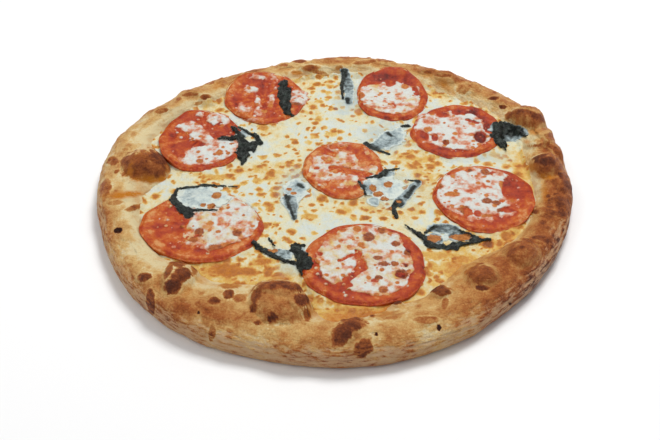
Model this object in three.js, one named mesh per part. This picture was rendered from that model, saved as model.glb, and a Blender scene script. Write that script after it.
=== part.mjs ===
import * as THREE from "three";
import { mergeVertices } from "three/addons/utils/BufferGeometryUtils.js";

// A whole margherita pizza in millimetres, +Z up. The origin lies on the resting plane
// under the middle of the crust, and -Y is the side towards a diner.

// Crust: the outline is a mean radius with a few slow waves [count, size, peak in degrees].
const MEAN_RADIUS = 154;
const OUTLINE_WAVES = [
  [1, 2.0, 113],
  [2, 2.6, 39],
  [3, 2.3, 36],
  [4, 0.9, -25],
  [5, 1.0, 10],
  [6, 0.8, -16],
];
// Where the outline bulges out locally: [angle in degrees, extra radius, half span].
const OUTLINE_BULGES = [[27, 4.5, 18]];
const FLOOR_HEIGHT = 4.5;
const RIM_HEIGHT = 17.4;
const RIM_HEIGHT_WAVES = [
  [1, 0.8, 270],
  [5, 0.5, 20],
  [8, 0.4, 5],
];
const RIM_WIDTH = 33;
const RIM_WIDTH_WAVES = [
  [1, 3.5, 232],
  [3, 2.0, 50],
  [7, 1.5, 12],
];
// Where the rim swells inwards, or less than 0 where it is narrower: [angle in degrees,
// extra width, half span].
const RIM_SWELLS = [
  [150, -5, 24],
  [173, 16, 13],
  [203, -7, 20],
  [222, 8, 10],
  [238, 20, 18],
  [253, 26, 17],
  [270, -5, 9],
  [290, 7, 13],
  [312, 12, 26],
];
const RIDGE_INSET = 14;
const BULGE_HEIGHT = 8;

// Foot and wall below the bulge: [inset from the outline, height].
const FOOT_STATIONS = [
  [7, 0],
  [2.6, 1.4],
  [0.7, 4.4],
];
const SHOULDER_INSETS = [0, 1.2, 4, 8.5];
const SLOPE_SHARES = [0, 0.15, 0.3, 0.45, 0.6, 0.75, 0.9, 1];

// Baked blisters that stand up from the rim.
const BLISTERS = [
  { x: -125, y: 15, width: 33, depth: 32, turn: 0, rise: 5.5 },
  { x: -31, y: -115, width: 38, depth: 38, turn: 8, rise: 5 },
  { x: -92, y: -94, width: 20, depth: 32, turn: -15, rise: 4 },
  { x: 136, y: 67, width: 30, depth: 28, turn: 25, rise: 4.5 },
  { x: 139, y: 12, width: 22, depth: 24, turn: 0, rise: 3.5 },
  { x: 141, y: 44, width: 18, depth: 16, turn: 0, rise: 2 },
  { x: 112, y: -75, width: 22, depth: 24, turn: 0, rise: 3 },
  { x: 85, y: -95, width: 22, depth: 20, turn: 0, rise: 3.5 },
  { x: 60, y: -104, width: 15, depth: 14, turn: 0, rise: 3 },
  { x: 34, y: -112, width: 13, depth: 11, turn: 0, rise: 2.5 },
  { x: 9, y: -139, width: 18, depth: 26, turn: -18, rise: 2 },
  { x: -66, y: -106, width: 26, depth: 20, turn: 30, rise: 2 },
  { x: -96, y: 98, width: 24, depth: 14, turn: -42, rise: 2 },
  { x: -20, y: 132, width: 20, depth: 13, turn: 0, rise: 1.5 },
  { x: 80, y: 119, width: 22, depth: 18, turn: -30, rise: 2.5 },
];

// Cheese: one melted sheet that fills the floor and climbs the inside of the rim.
const CHEESE_TOP = 9.4;
const CHEESE_LEAST = 0.8;
const CHEESE_FLOOR_SHARES = [0, 0.2, 0.4, 0.6, 0.8, 1];
const CHEESE_SLOPE_SHARES = [0.35, 0.7, 1];
const CHEESE_CLIMB = 0.42;
const CHEESE_WAVES = [
  { x: 0.075, y: 0.03, rise: 0.3 },
  { x: -0.04, y: 0.07, rise: 0.3 },
];

// Tomato slices, each an oval that is flattened a little where it meets its neighbour.
const SLICE_THICKNESS = 3.8;
const SLICE_CORE_DIP = 0.7;
const SLICES = [
  { x: -50.5, y: 97.5, width: 58, depth: 61, turn: 0, flatAt: 231, flat: 3 },
  { x: 41.5, y: 101, width: 51, depth: 61, turn: 0, flatAt: -43, flat: 2 },
  { x: -90.5, y: 48.5, width: 58, depth: 71, turn: 0, flatAt: 51, flat: 2.5 },
  { x: 5, y: 16, width: 54, depth: 62, turn: 12, flatAt: 215, flat: 2 },
  { x: 82.5, y: 60.5, width: 65, depth: 63, turn: 0, flatAt: 137, flat: 5 },
  { x: 94.5, y: -14, width: 66, depth: 68, turn: 0, flatAt: 215, flat: 2 },
  { x: -82.5, y: -41, width: 77, depth: 67, turn: 0, flatAt: 50, flat: 3 },
  { x: 17, y: -77.5, width: 75, depth: 74, turn: 0, flatAt: 250, flat: 1.5 },
];

// Cheese that melted on top of each slice.
const MELT_THICKNESS = 1.3;
const MELTS = [
  { x: -60, y: 88, width: 22, depth: 34, turn: 10 },
  { x: 35, y: 92, width: 38, depth: 42, turn: 0 },
  { x: -88, y: 43, width: 42, depth: 50, turn: 20 },
  { x: 4, y: 15, width: 38, depth: 48, turn: 12 },
  { x: 81, y: 56, width: 48, depth: 44, turn: 0 },
  { x: 87, y: -14, width: 44, depth: 50, turn: 0 },
  { x: -73, y: -40, width: 48, depth: 54, turn: 0 },
  { x: 17, y: -73, width: 52, depth: 52, turn: 0 },
];

// Wilted basil leaves: each spine runs from the stalk to the tip.
const LEAF_THICKNESS = 1;
const LEAF_TIP_WIDTH = 2.5;
const LEAVES = [
  { spine: [[-38, 113], [-37, 92], [-33, 73]], width: 11 },
  { spine: [[7, 131], [7, 112], [8, 92]], width: 12 },
  { spine: [[-73, 57], [-58, 41], [-60, 18]], width: 18 },
  { spine: [[-105, -14], [-87, -18], [-66, -12]], width: 23 },
  { spine: [[-27, -2], [-29, -20], [-26, -41]], width: 14 },
  { spine: [[-51, -60], [-34, -70], [-13, -79]], width: 17 },
  { spine: [[27, 34], [37, 47], [50, 63]], width: 21 },
  { spine: [[20, 10], [35, -8], [38, -35]], width: 33 },
  { spine: [[43, -45], [66, -55], [93, -58]], width: 18 },
  { spine: [[117, 64], [119, 50], [115, 33]], width: 20 },
];

// Clearance between pieces that touch, and how far a draped piece looks around itself.
const GAP = 0.35;
const CHEESE_REACH = 0.9;
const SLICE_REACH = 4.5;
const MELT_REACH = 4.5;
const LEAF_REACH = 6;
const RING_SEGMENTS = 96;
const SLICE_SEGMENTS = 24;
const MELT_SEGMENTS = 16;
const PROBES = 8;

const finish = (color, roughness) => new THREE.MeshStandardMaterial({ color, roughness, metalness: 0 });
const CRUST = finish(0xc78f55, 0.75);
const CHEESE = finish(0xefe6c4, 0.45);
const TOMATO = finish(0xc8442a, 0.35);
const BASIL = finish(0x26302a, 0.5);

// Sums the waves [count, size, peak] at an angle in radians.
function waves(list, angle) {
  return list.reduce(
    (sum, [count, size, peak]) => sum + size * Math.cos(count * (angle - THREE.MathUtils.degToRad(peak))),
    0,
  );
}

// Sums the local swells [peak in degrees, extra, half span] at an angle in radians.
function swells(list, angle) {
  return list.reduce((sum, [peak, extra, span]) => {
    const away = Math.acos(Math.cos(angle - THREE.MathUtils.degToRad(peak)));
    return sum + extra * (1 - THREE.MathUtils.smoothstep(THREE.MathUtils.radToDeg(away), 0, span));
  }, 0);
}

const outlineRadius = (angle) => MEAN_RADIUS + waves(OUTLINE_WAVES, angle) + swells(OUTLINE_BULGES, angle);
const rimHeight = (angle) => RIM_HEIGHT + waves(RIM_HEIGHT_WAVES, angle);

// How far a large blister swells the rim at an angle, in millimetres.
const rimSwell = (angle) => swells(RIM_SWELLS, angle);

const rimWidth = (angle) => RIM_WIDTH + waves(RIM_WIDTH_WAVES, angle) + rimSwell(angle);

// Where a point lies in a turned oval: 0 in its middle, 1 on its edge.
function ovalShare(oval, x, y) {
  const turn = THREE.MathUtils.degToRad(oval.turn);
  const dx = x - oval.x;
  const dy = y - oval.y;
  const along = dx * Math.cos(turn) + dy * Math.sin(turn);
  const across = dy * Math.cos(turn) - dx * Math.sin(turn);
  return Math.hypot((2 * along) / oval.width, (2 * across) / oval.depth);
}

function blisterRise(x, y) {
  return BLISTERS.reduce((sum, blister) => {
    const share = ovalShare(blister, x, y);
    return share < 1 ? sum + blister.rise * (1 - share * share) : sum;
  }, 0);
}

// Height of the dough's upper surface: shoulder, ridge, inner slope and floor.
function crustTop(x, y) {
  const angle = Math.atan2(y, x);
  const inset = outlineRadius(angle) - Math.hypot(x, y);
  const ridge = rimHeight(angle);
  if (inset < RIDGE_INSET) {
    const share = THREE.MathUtils.clamp(1 - inset / RIDGE_INSET, 0, 1);
    const lift = Math.sqrt(1 - share * share);
    return BULGE_HEIGHT + (ridge - BULGE_HEIGHT + blisterRise(x, y)) * lift;
  }
  const share = Math.min(1, (inset - RIDGE_INSET) / (rimWidth(angle) - RIDGE_INSET));
  const slope = 1 - share * share;
  const blister = blisterRise(x, y) * (1 - THREE.MathUtils.smoothstep(share, 0.8, 1));
  return FLOOR_HEIGHT + (ridge - FLOOR_HEIGHT) * slope + blister;
}

// Inset from the outline of a station on the rim's inner slope.
const slopeInset = (angle, share) => RIDGE_INSET + share * (rimWidth(angle) - RIDGE_INSET);

// How much of the slope the cheese climbs: it stops short where a blister swells the rim.
const cheeseEdgeShare = (angle) =>
  1 - CHEESE_CLIMB * (1 - 0.85 * THREE.MathUtils.clamp(rimSwell(angle) / 10, 0, 1));

// The highest point of a surface around a place, so that what lies on it stays clear.
function highest(surface, x, y, reach) {
  let top = surface(x, y);
  for (let i = 0; i < PROBES; i++) {
    const angle = (i / PROBES) * 2 * Math.PI;
    top = Math.max(top, surface(x + reach * Math.cos(angle), y + reach * Math.sin(angle)));
  }
  return top;
}

const cheeseUnder = (x, y) => highest(crustTop, x, y, CHEESE_REACH) + GAP;

function cheeseTop(x, y) {
  const lumps = CHEESE_WAVES.reduce((sum, wave) => sum + wave.rise * Math.sin(wave.x * x + wave.y * y), 0);
  return Math.max(CHEESE_TOP + lumps, cheeseUnder(x, y) + CHEESE_LEAST);
}

function cheeseReaches(x, y) {
  const angle = Math.atan2(y, x);
  return Math.hypot(x, y) < outlineRadius(angle) - slopeInset(angle, cheeseEdgeShare(angle));
}

// The surface that a slice lies on.
const groundAt = (x, y) => (cheeseReaches(x, y) ? cheeseTop(x, y) : crustTop(x, y));

// Outline of a slice as a share of its oval: a slow wobble and one flattened side.
function sliceEdge(slice, angle) {
  const wobble = 1 + 0.015 * Math.sin(3 * angle + slice.x) + 0.01 * Math.sin(5 * angle + slice.y);
  const away = Math.cos(angle - THREE.MathUtils.degToRad(slice.flatAt));
  const flattened = (2 * slice.flat * Math.max(0, away) ** 6) / slice.width;
  return wobble - flattened;
}

const sliceUnder = (x, y) => highest(groundAt, x, y, SLICE_REACH) + GAP;

function sliceTop(slice, x, y) {
  const share = Math.min(1, ovalShare(slice, x, y));
  return sliceUnder(x, y) + SLICE_THICKNESS - SLICE_CORE_DIP * (1 - share * share);
}

const meltUnder = (slice, x, y) =>
  highest((px, py) => sliceTop(slice, px, py), x, y, MELT_REACH) + GAP;
const meltTop = (slice, melt, x, y) =>
  meltUnder(slice, x, y) + MELT_THICKNESS * (1 - 0.6 * Math.min(1, ovalShare(melt, x, y)) ** 2);

// The surface that a leaf lies on: cheese, crust, slices and what melted on them.
function coverAt(x, y) {
  return SLICES.reduce((top, slice, i) => {
    const angle = Math.atan2(y - slice.y, x - slice.x);
    if (ovalShare(slice, x, y) > sliceEdge(slice, angle)) return top;
    return Math.max(top, meltTop(slice, MELTS[i], x, y));
  }, groundAt(x, y));
}

// A geometry with shared vertices and no flat-out triangles, as plain arrays.
function welded(geometry) {
  geometry.deleteAttribute("normal");
  geometry.deleteAttribute("uv");
  const merged = mergeVertices(geometry, 1e-4);
  const index = Array.from(merged.index.array);
  const faces = [];
  for (let i = 0; i < index.length; i += 3) {
    const [a, b, c] = index.slice(i, i + 3);
    if (a !== b && b !== c && c !== a) faces.push([a, b, c]);
  }
  return { points: merged.getAttribute("position"), faces };
}

// A flat sheet's triangles turned to face up.
function facingUp(points, faces) {
  return faces.map(([a, b, c]) => {
    const abX = points.getX(b) - points.getX(a);
    const abY = points.getY(b) - points.getY(a);
    const acX = points.getX(c) - points.getX(a);
    const acY = points.getY(c) - points.getY(a);
    return abX * acY - abY * acX > 0 ? [a, b, c] : [a, c, b];
  });
}

// The closed solid between two height fields over a flat sheet; both faces are split alike.
function slab(sheet, under, top) {
  const { points, faces } = welded(sheet);
  const upper = facingUp(points, faces);
  const count = points.count;
  const positions = [];
  for (const height of [top, under]) {
    for (let i = 0; i < count; i++) {
      const x = points.getX(i);
      const y = points.getY(i);
      positions.push(x, y, height(x, y));
    }
  }
  const edges = upper.flatMap(([a, b, c]) => [[a, b], [b, c], [c, a]]);
  const paired = new Set(edges.map(([a, b]) => b + "," + a));
  const border = edges.filter(([a, b]) => !paired.has(a + "," + b));
  const index = [
    ...upper.flat(),
    ...upper.flatMap(([a, b, c]) => [count + a, count + c, count + b]),
    ...border.flatMap(([a, b]) => [a, count + a, count + b, a, count + b, b]),
  ];
  const solid = new THREE.BufferGeometry();
  solid.setAttribute("position", new THREE.Float32BufferAttribute(positions, 3));
  solid.setIndex(index);
  solid.computeVertexNormals();
  return solid;
}

// Moves every vertex of a geometry to the point that a function gives for it.
function reshaped(geometry, move) {
  const points = geometry.getAttribute("position");
  for (let i = 0; i < points.count; i++) {
    const moved = move(points.getX(i), points.getY(i), points.getZ(i));
    points.setXYZ(i, moved.x, moved.y, moved.z);
  }
  return geometry;
}

// A flat round sheet with rings at the given numbers, which its vertices keep as radii.
function ringSheet(rings, segments) {
  const profile = rings.map((ring) => new THREE.Vector2(ring, 0));
  return new THREE.LatheGeometry(profile, segments).rotateX(Math.PI / 2);
}

const polar = (radius, angle, z = 0) =>
  new THREE.Vector3(radius * Math.cos(angle), radius * Math.sin(angle), z);

// The crust is turned from a profile whose stations are numbered along its radius, and each
// station is then moved to its place for the angle it is at.
function crustGeometry() {
  const stations = [
    ...FOOT_STATIONS.map(([inset, height]) => () => [inset, () => height]),
    ...SHOULDER_INSETS.map((inset) => () => [inset, crustTop]),
    ...SLOPE_SHARES.map((share) => (angle) => [slopeInset(angle, share), crustTop]),
  ];
  const profile = stations.map((_, i) => new THREE.Vector2(i + 1, i - stations.length));
  profile.unshift(new THREE.Vector2(0, -stations.length - 1));
  profile.push(new THREE.Vector2(0, 1));
  const turned = new THREE.LatheGeometry(profile, RING_SEGMENTS).rotateX(Math.PI / 2);
  return reshaped(turned, (x, y, z) => {
    const station = Math.round(Math.hypot(x, y));
    if (station === 0) return new THREE.Vector3(0, 0, z > 0 ? FLOOR_HEIGHT : 0);
    const angle = Math.atan2(y, x);
    const [inset, height] = stations[station - 1](angle);
    const at = polar(outlineRadius(angle) - inset, angle);
    return at.setZ(height(at.x, at.y));
  });
}

function cheeseGeometry() {
  const floorRadius = (angle) => outlineRadius(angle) - rimWidth(angle);
  const rings = [
    ...CHEESE_FLOOR_SHARES.map((share) => (angle) => share * floorRadius(angle)),
    ...CHEESE_SLOPE_SHARES.map((climb) => (angle) => {
      const share = 1 - climb * (1 - cheeseEdgeShare(angle));
      return outlineRadius(angle) - slopeInset(angle, share);
    }),
  ];
  const sheet = ringSheet(rings.map((_, i) => i), RING_SEGMENTS);
  reshaped(sheet, (x, y) => {
    const angle = Math.atan2(y, x);
    return polar(rings[Math.round(Math.hypot(x, y))](angle), angle);
  });
  return slab(sheet, cheeseUnder, cheeseTop);
}

// A round sheet of rings, stretched to a turned oval with the given edge.
function ovalSheet(oval, rings, segments, edge) {
  const turn = THREE.MathUtils.degToRad(oval.turn);
  return reshaped(ringSheet(rings, segments), (x, y) => {
    const angle = Math.atan2(y, x);
    const share = Math.hypot(x, y);
    const along = (oval.width / 2) * share * Math.cos(angle);
    const across = (oval.depth / 2) * share * Math.sin(angle);
    const px = along * Math.cos(turn) - across * Math.sin(turn);
    const py = along * Math.sin(turn) + across * Math.cos(turn);
    const reach = 1 + (edge(Math.atan2(py, px)) - 1) * share;
    return new THREE.Vector3(oval.x + px * reach, oval.y + py * reach, 0);
  });
}

function sliceGeometry(slice) {
  const sheet = ovalSheet(slice, [0, 0.4, 0.75, 1], SLICE_SEGMENTS, (angle) => sliceEdge(slice, angle));
  return slab(sheet, sliceUnder, (x, y) => sliceTop(slice, x, y));
}

function meltGeometry(melt, slice) {
  const ragged = (angle) => 1 + 0.07 * Math.sin(4 * angle + melt.y) + 0.04 * Math.sin(7 * angle + melt.x);
  const sheet = ovalSheet(melt, [0, 0.55, 1], MELT_SEGMENTS, ragged);
  return slab(sheet, (x, y) => meltUnder(slice, x, y), (x, y) => meltTop(slice, melt, x, y));
}

function leafGeometry(leaf) {
  const spine = new THREE.CatmullRomCurve3(leaf.spine.map(([x, y]) => new THREE.Vector3(x, y, 0)));
  const sheet = reshaped(new THREE.PlaneGeometry(1, 1, 9, 4), (u, v) => {
    const along = u + 0.5;
    const middle = spine.getPointAt(along);
    const side = spine.getTangentAt(along).cross(new THREE.Vector3(0, 0, 1));
    const width = Math.max(LEAF_TIP_WIDTH, leaf.width * Math.sin(Math.PI * along) ** 0.7);
    return middle.addScaledVector(side, v * width);
  });
  const ripple = (x, y) => 0.5 + 0.5 * Math.sin(0.5 * x + 0.35 * y);
  const under = (x, y) => highest(coverAt, x, y, LEAF_REACH) + GAP + ripple(x, y);
  return slab(sheet, under, (x, y) => under(x, y) + LEAF_THICKNESS);
}

function named(name, geometry, material) {
  const mesh = new THREE.Mesh(geometry, material);
  mesh.name = name;
  return mesh;
}

const pizza = new THREE.Group();
pizza.add(named("crust", crustGeometry(), CRUST));
pizza.add(named("cheese", cheeseGeometry(), CHEESE));
SLICES.forEach((slice, i) => {
  pizza.add(named("tomato_" + (i + 1), sliceGeometry(slice), TOMATO));
  pizza.add(named("melt_" + (i + 1), meltGeometry(MELTS[i], slice), CHEESE));
});
LEAVES.forEach((leaf, i) => pizza.add(named("basil_" + (i + 1), leafGeometry(leaf), BASIL)));

export default pizza;
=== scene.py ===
import logging
import math
from collections.abc import Callable, Sequence
from dataclasses import dataclass, field
from enum import Enum

import bpy
import numpy as np
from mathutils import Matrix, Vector
from mathutils.bvhtree import BVHTree


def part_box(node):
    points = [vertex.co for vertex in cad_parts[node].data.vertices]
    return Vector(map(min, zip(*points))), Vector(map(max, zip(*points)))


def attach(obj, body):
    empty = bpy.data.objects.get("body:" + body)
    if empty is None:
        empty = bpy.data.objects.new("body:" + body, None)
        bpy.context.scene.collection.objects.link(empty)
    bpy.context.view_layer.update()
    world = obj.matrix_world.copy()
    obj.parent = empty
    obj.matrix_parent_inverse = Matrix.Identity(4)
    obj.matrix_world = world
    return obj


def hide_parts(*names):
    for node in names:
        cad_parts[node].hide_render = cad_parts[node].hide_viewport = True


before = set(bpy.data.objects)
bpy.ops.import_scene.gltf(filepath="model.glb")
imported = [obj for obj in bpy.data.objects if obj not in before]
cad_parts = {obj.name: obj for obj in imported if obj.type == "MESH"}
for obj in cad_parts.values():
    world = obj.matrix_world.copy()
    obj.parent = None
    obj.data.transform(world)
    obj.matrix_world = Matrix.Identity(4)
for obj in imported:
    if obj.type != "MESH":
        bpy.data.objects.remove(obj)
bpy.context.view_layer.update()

LOG = logging.getLogger("pizza")
MM = 0.001
BODY = "root"
Array = np.ndarray
Point = tuple[float, float]
Place = tuple[float, float, float]
Colour = tuple[float, float, float]
Stops = tuple[tuple[float, Colour], ...]
Thing = bpy.types.Object
Material = bpy.types.Material
Socket = bpy.types.NodeSocket
PRIMES = (73856093, 19349663, 83492791)  # mix place numbers into one
TABLE_SIZE = 65536
RAY_START = 0.1  # height above the whole pizza, in metres
SLICE_LEVEL = 12.5  # mean height of the slices, in millimetres
EVERYWHERE = -2.0  # an edge moved out so far that every point lies within it


class Slot(Enum):
    """Material slots of the record."""

    CRUST = "crust"
    CHEESE = "cheese"
    TOMATO = "tomato"
    BASIL = "basil"


# --------------------------------------------------------------------------- noise and masks


class Grain:
    """Seeded smooth noise over space, the same on every run."""

    def __init__(self, seed: int) -> None:
        """Fills the table of random numbers.

        Args:
            seed: Number that fixes the pattern.
        """
        self._table = np.random.default_rng(seed).random(TABLE_SIZE)

    def pick(self, i: Array, j: Array, k: Array | int = 0) -> Array:
        """Random number in 0..1 for each whole-number place.

        Args:
            i: First place number.
            j: Second place number.
            k: Third place number.

        Returns:
            One number for each place.
        """
        mixed = (i * PRIMES[0]) ^ (j * PRIMES[1]) ^ (np.asarray(k) * PRIMES[2])
        return self._table[mixed & (TABLE_SIZE - 1)]

    def smooth(self, x: Array, y: Array, z: Array | float = 0.0) -> Array:
        """Smooth noise in -1..1 with lumps one unit wide.

        Args:
            x: First coordinate.
            y: Second coordinate.
            z: Third coordinate.

        Returns:
            The noise at each point.
        """
        spots = np.broadcast_arrays(np.asarray(x, float), np.asarray(y, float), np.asarray(z, float))
        base = [np.floor(s) for s in spots]
        part = [s - b for s, b in zip(spots, base)]
        ease = [p * p * p * (p * (p * 6 - 15) + 10) for p in part]
        i, j, k = (b.astype(np.int64) for b in base)
        total = np.zeros(spots[0].shape)
        for a in (0, 1):
            for b in (0, 1):
                for c in (0, 1):
                    weight = (ease[0] if a else 1 - ease[0]) * (ease[1] if b else 1 - ease[1])
                    total += weight * (ease[2] if c else 1 - ease[2]) * self.pick(i + a, j + b, k + c)
        return total * 2 - 1

    def layered(self, x: Array, y: Array, z: Array | float = 0.0, layers: int = 4) -> Array:
        """Smooth noise with finer layers added, in about -1..1.

        Args:
            x: First coordinate.
            y: Second coordinate.
            z: Third coordinate.
            layers: How many layers, each half the size of the one before.

        Returns:
            The noise at each point.
        """
        total = 0.0
        for n in range(layers):
            total = total + self.smooth(x * 2**n + 17.3 * n, y * 2**n - 9.1 * n, z * 2**n) / 2**n
        return total * 0.62

    def spots(self, x: Array, y: Array, cell: float, radius: float, share: float) -> Array:
        """Scattered round spots: 1 in the middle of a spot and 0 outside.

        Args:
            x: First coordinate.
            y: Second coordinate.
            cell: Distance between places where a spot may be.
            radius: Mean radius of a spot.
            share: Share of the places that have one.

        Returns:
            How deep each point lies in a spot.
        """
        ci = np.floor(x / cell).astype(np.int64)
        cj = np.floor(y / cell).astype(np.int64)
        deepest = np.zeros(np.shape(x))
        for di in (-1, 0, 1):
            for dj in (-1, 0, 1):
                i, j = ci + di, cj + dj
                away_x = x - (i + 0.1 + 0.8 * self.pick(i, j, 1)) * cell
                away_y = y - (j + 0.1 + 0.8 * self.pick(i, j, 2)) * cell
                size = radius * (0.5 + self.pick(i, j, 3))
                depth = 1 - (away_x**2 + away_y**2) / size**2
                deepest = np.maximum(deepest, np.where(self.pick(i, j, 4) < share, depth, 0))
        return deepest


def ramp(value: Array, low: float, high: float) -> Array:
    """Smooth step from 0 at low to 1 at high.

    Args:
        value: What is stepped.
        low: Where the step starts.
        high: Where the step ends.

    Returns:
        The stepped values.
    """
    share = np.clip((value - low) / (high - low), 0, 1)
    return share * share * (3 - 2 * share)


@dataclass(frozen=True)
class Oval:
    """A turned oval area with a strength, in millimetres and degrees."""

    x: float
    y: float
    width: float
    depth: float
    strength: float = 1.0
    turn: float = 0.0

    def share(self, x: Array, y: Array) -> Array:
        """Where points lie: 0 in the middle, 1 on the edge.

        Args:
            x: X of the points.
            y: Y of the points.

        Returns:
            The share for each point.
        """
        turn = math.radians(self.turn)
        dx, dy = x - self.x, y - self.y
        along = dx * math.cos(turn) + dy * math.sin(turn)
        across = dy * math.cos(turn) - dx * math.sin(turn)
        return np.hypot(2 * along / self.width, 2 * across / self.depth)


@dataclass(frozen=True)
class Strand:
    """A straight strip whose width changes from its start to its end, with a strength."""

    start: Point
    end: Point
    widths: Point
    strength: float = 1.0

    def share(self, x: Array, y: Array) -> Array:
        """Where points lie: 0 on the strip's middle line, 1 on its edge.

        Args:
            x: X of the points.
            y: Y of the points.

        Returns:
            The share for each point.
        """
        dx, dy = self.end[0] - self.start[0], self.end[1] - self.start[1]
        along = np.clip(((x - self.start[0]) * dx + (y - self.start[1]) * dy) / (dx * dx + dy * dy), 0, 1)
        away = np.hypot(x - self.start[0] - along * dx, y - self.start[1] - along * dy)
        return 2 * away / (self.widths[0] + (self.widths[1] - self.widths[0]) * along)


Area = Oval | Strand


def painted(areas: Sequence[Area], x: Array, y: Array, rough: Array, soft: float) -> Array:
    """Largest strength of the areas that cover each point, with ragged edges.

    Args:
        areas: The ovals and strands.
        x: X of the points.
        y: Y of the points.
        rough: Noise that makes the edges ragged.
        soft: Share of an area over which its edge fades.

    Returns:
        The strength at each point.
    """
    most = np.zeros(np.shape(x))
    for area in areas:
        inside = ramp(area.share(x, y) + rough, 1 + soft, 1 - soft)
        most = np.maximum(most, inside * area.strength)
    return most


def field_of(areas: Sequence[Area], x: Array, y: Array, rough: Array | float) -> tuple[Array, Array]:
    """How deep points lie in the nearest of some areas, and how strong that area is.

    Args:
        areas: The ovals and strands.
        x: X of the points.
        y: Y of the points.
        rough: How far the edges move in, or noise that makes them ragged.

    Returns:
        The depth, 0.5 on an edge and more inside, and the strength.
    """
    depth = np.zeros(np.shape(x))
    tone = np.zeros(np.shape(x))
    for area in areas:
        here = 0.5 + 0.9 * (1 - area.share(x, y) - rough)
        tone = np.where(here > depth, area.strength, tone)
        depth = np.maximum(depth, here)
    return np.clip(depth, 0, 1), tone


# --------------------------------------------------------------------------- the view


@dataclass(frozen=True)
class Sight:
    """The camera: where it stands, how far it looks down, its lens and the toppings' level."""

    eye: Place = (-3.7, -557.0, 452.1)
    down: float = 40.23
    lens: float = 59.5
    plane: float = 14.0

    def seen(self, x: Array, y: Array, z: Array | float) -> tuple[Array, Array]:
        """Carries points along their lines of sight to the level of the toppings.

        Args:
            x: X of the points.
            y: Y of the points.
            z: Z of the points.

        Returns:
            X and Y at that level.
        """
        pull = (self.plane - self.eye[2]) / (z - self.eye[2])
        return self.eye[0] + (x - self.eye[0]) * pull, self.eye[1] + (y - self.eye[1]) * pull

    def build(self) -> None:
        """Makes the camera."""
        data = bpy.data.cameras.new("camera")
        data.lens = self.lens
        camera = bpy.data.objects.new("camera", data)
        camera.location = Vector(self.eye) * MM
        camera.rotation_euler = (math.radians(90 - self.down), 0, 0)
        bpy.context.scene.collection.objects.link(camera)
        bpy.context.scene.camera = camera


SIGHT = Sight()


# --------------------------------------------------------------------------- mesh making


def alone(thing: Thing) -> None:
    """Selects one object and nothing else.

    Args:
        thing: The object.
    """
    bpy.ops.object.select_all(action="DESELECT")
    thing.select_set(True)
    bpy.context.view_layer.objects.active = thing


def vertices(thing: Thing) -> Array:
    """Vertex places of an object.

    Args:
        thing: The object.

    Returns:
        One row of X, Y and Z for each vertex, in the object's own units.
    """
    flat = np.empty(len(thing.data.vertices) * 3)
    thing.data.vertices.foreach_get("co", flat)
    return flat.reshape(-1, 3)


def move_vertices(thing: Thing, places: Array) -> None:
    """Moves every vertex to its place in millimetres."""
    thing.data.vertices.foreach_set("co", (places * MM).ravel())
    thing.data.update()


def paint(thing: Thing, **layers: Array) -> None:
    """Stores named numbers on the vertices for the finish to read.

    Args:
        thing: The piece.
        layers: One number for each vertex, by the layer's name.
    """
    for name, values in layers.items():
        layer = thing.data.attributes.new(name, "FLOAT", "POINT")
        layer.data.foreach_set("value", np.ascontiguousarray(values, dtype=np.float32))


def turned(name: str, profile: Sequence[Point], steps: int) -> Thing:
    """Spins a profile of numbered stations round the Z axis into a closed shape.

    Args:
        name: The piece's name.
        profile: Radius and height of each station; the ends lie on the axis.
        steps: How many stations round the circle.

    Returns:
        The piece, one unit for each station.
    """
    mesh = bpy.data.meshes.new(name)
    mesh.from_pydata([(r, 0, z) for r, z in profile], [(i, i + 1) for i in range(len(profile) - 1)], [])
    piece = bpy.data.objects.new(name, mesh)
    bpy.context.scene.collection.objects.link(piece)
    alone(piece)
    bpy.ops.object.mode_set(mode="EDIT")
    bpy.ops.mesh.select_all(action="SELECT")
    bpy.ops.mesh.spin(steps=steps, angle=2 * math.pi, center=(0, 0, 0), axis=(0, 0, 1))
    bpy.ops.mesh.select_all(action="SELECT")
    bpy.ops.mesh.remove_doubles(threshold=1e-4)
    bpy.ops.mesh.normals_make_consistent(inside=False)
    bpy.ops.object.mode_set(mode="OBJECT")
    return piece


def sheet(name: str, low: Point, high: Point, step: float) -> tuple[Thing, tuple[int, int]]:
    """Flat grid over a rectangle.

    Args:
        name: The piece's name.
        low: Lowest X and Y in millimetres.
        high: Highest X and Y in millimetres.
        step: Distance between grid lines.

    Returns:
        The grid, and how many rows and columns of vertices it has.
    """
    across, along = (max(3, round((h - l) / step)) for l, h in zip(low, high))
    bpy.ops.object.select_all(action="DESELECT")
    bpy.ops.mesh.primitive_grid_add(x_subdivisions=across, y_subdivisions=along, size=2)
    piece = bpy.context.object
    piece.name = name
    piece.data.name = name
    places = vertices(piece)
    middle = [(l + h) / 2 for l, h in zip(low, high)]
    half = [(h - l) / 2 for l, h in zip(low, high)]
    places[:, 0] = middle[0] + places[:, 0] * half[0]
    places[:, 1] = middle[1] + places[:, 1] * half[1]
    move_vertices(piece, places)
    return piece, (along + 1, across + 1)


def eased(heights: Array, shape: tuple[int, int], rounds: int) -> Array:
    """Evens out steps in the heights below a sheet, which bridges hollows.

    Args:
        heights: One height for each vertex of the sheet.
        shape: Its rows and columns.
        rounds: How many times neighbours are averaged.

    Returns:
        The eased heights.
    """
    grid = heights.reshape(shape)
    for _ in range(rounds):
        wide = np.pad(grid, 1, mode="edge")
        mean = (wide[:-2, 1:-1] + wide[2:, 1:-1] + wide[1:-1, :-2] + wide[1:-1, 2:]) / 4
        grid = 0.5 * np.maximum(grid, mean) + 0.5 * mean
    return grid.ravel()


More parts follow.
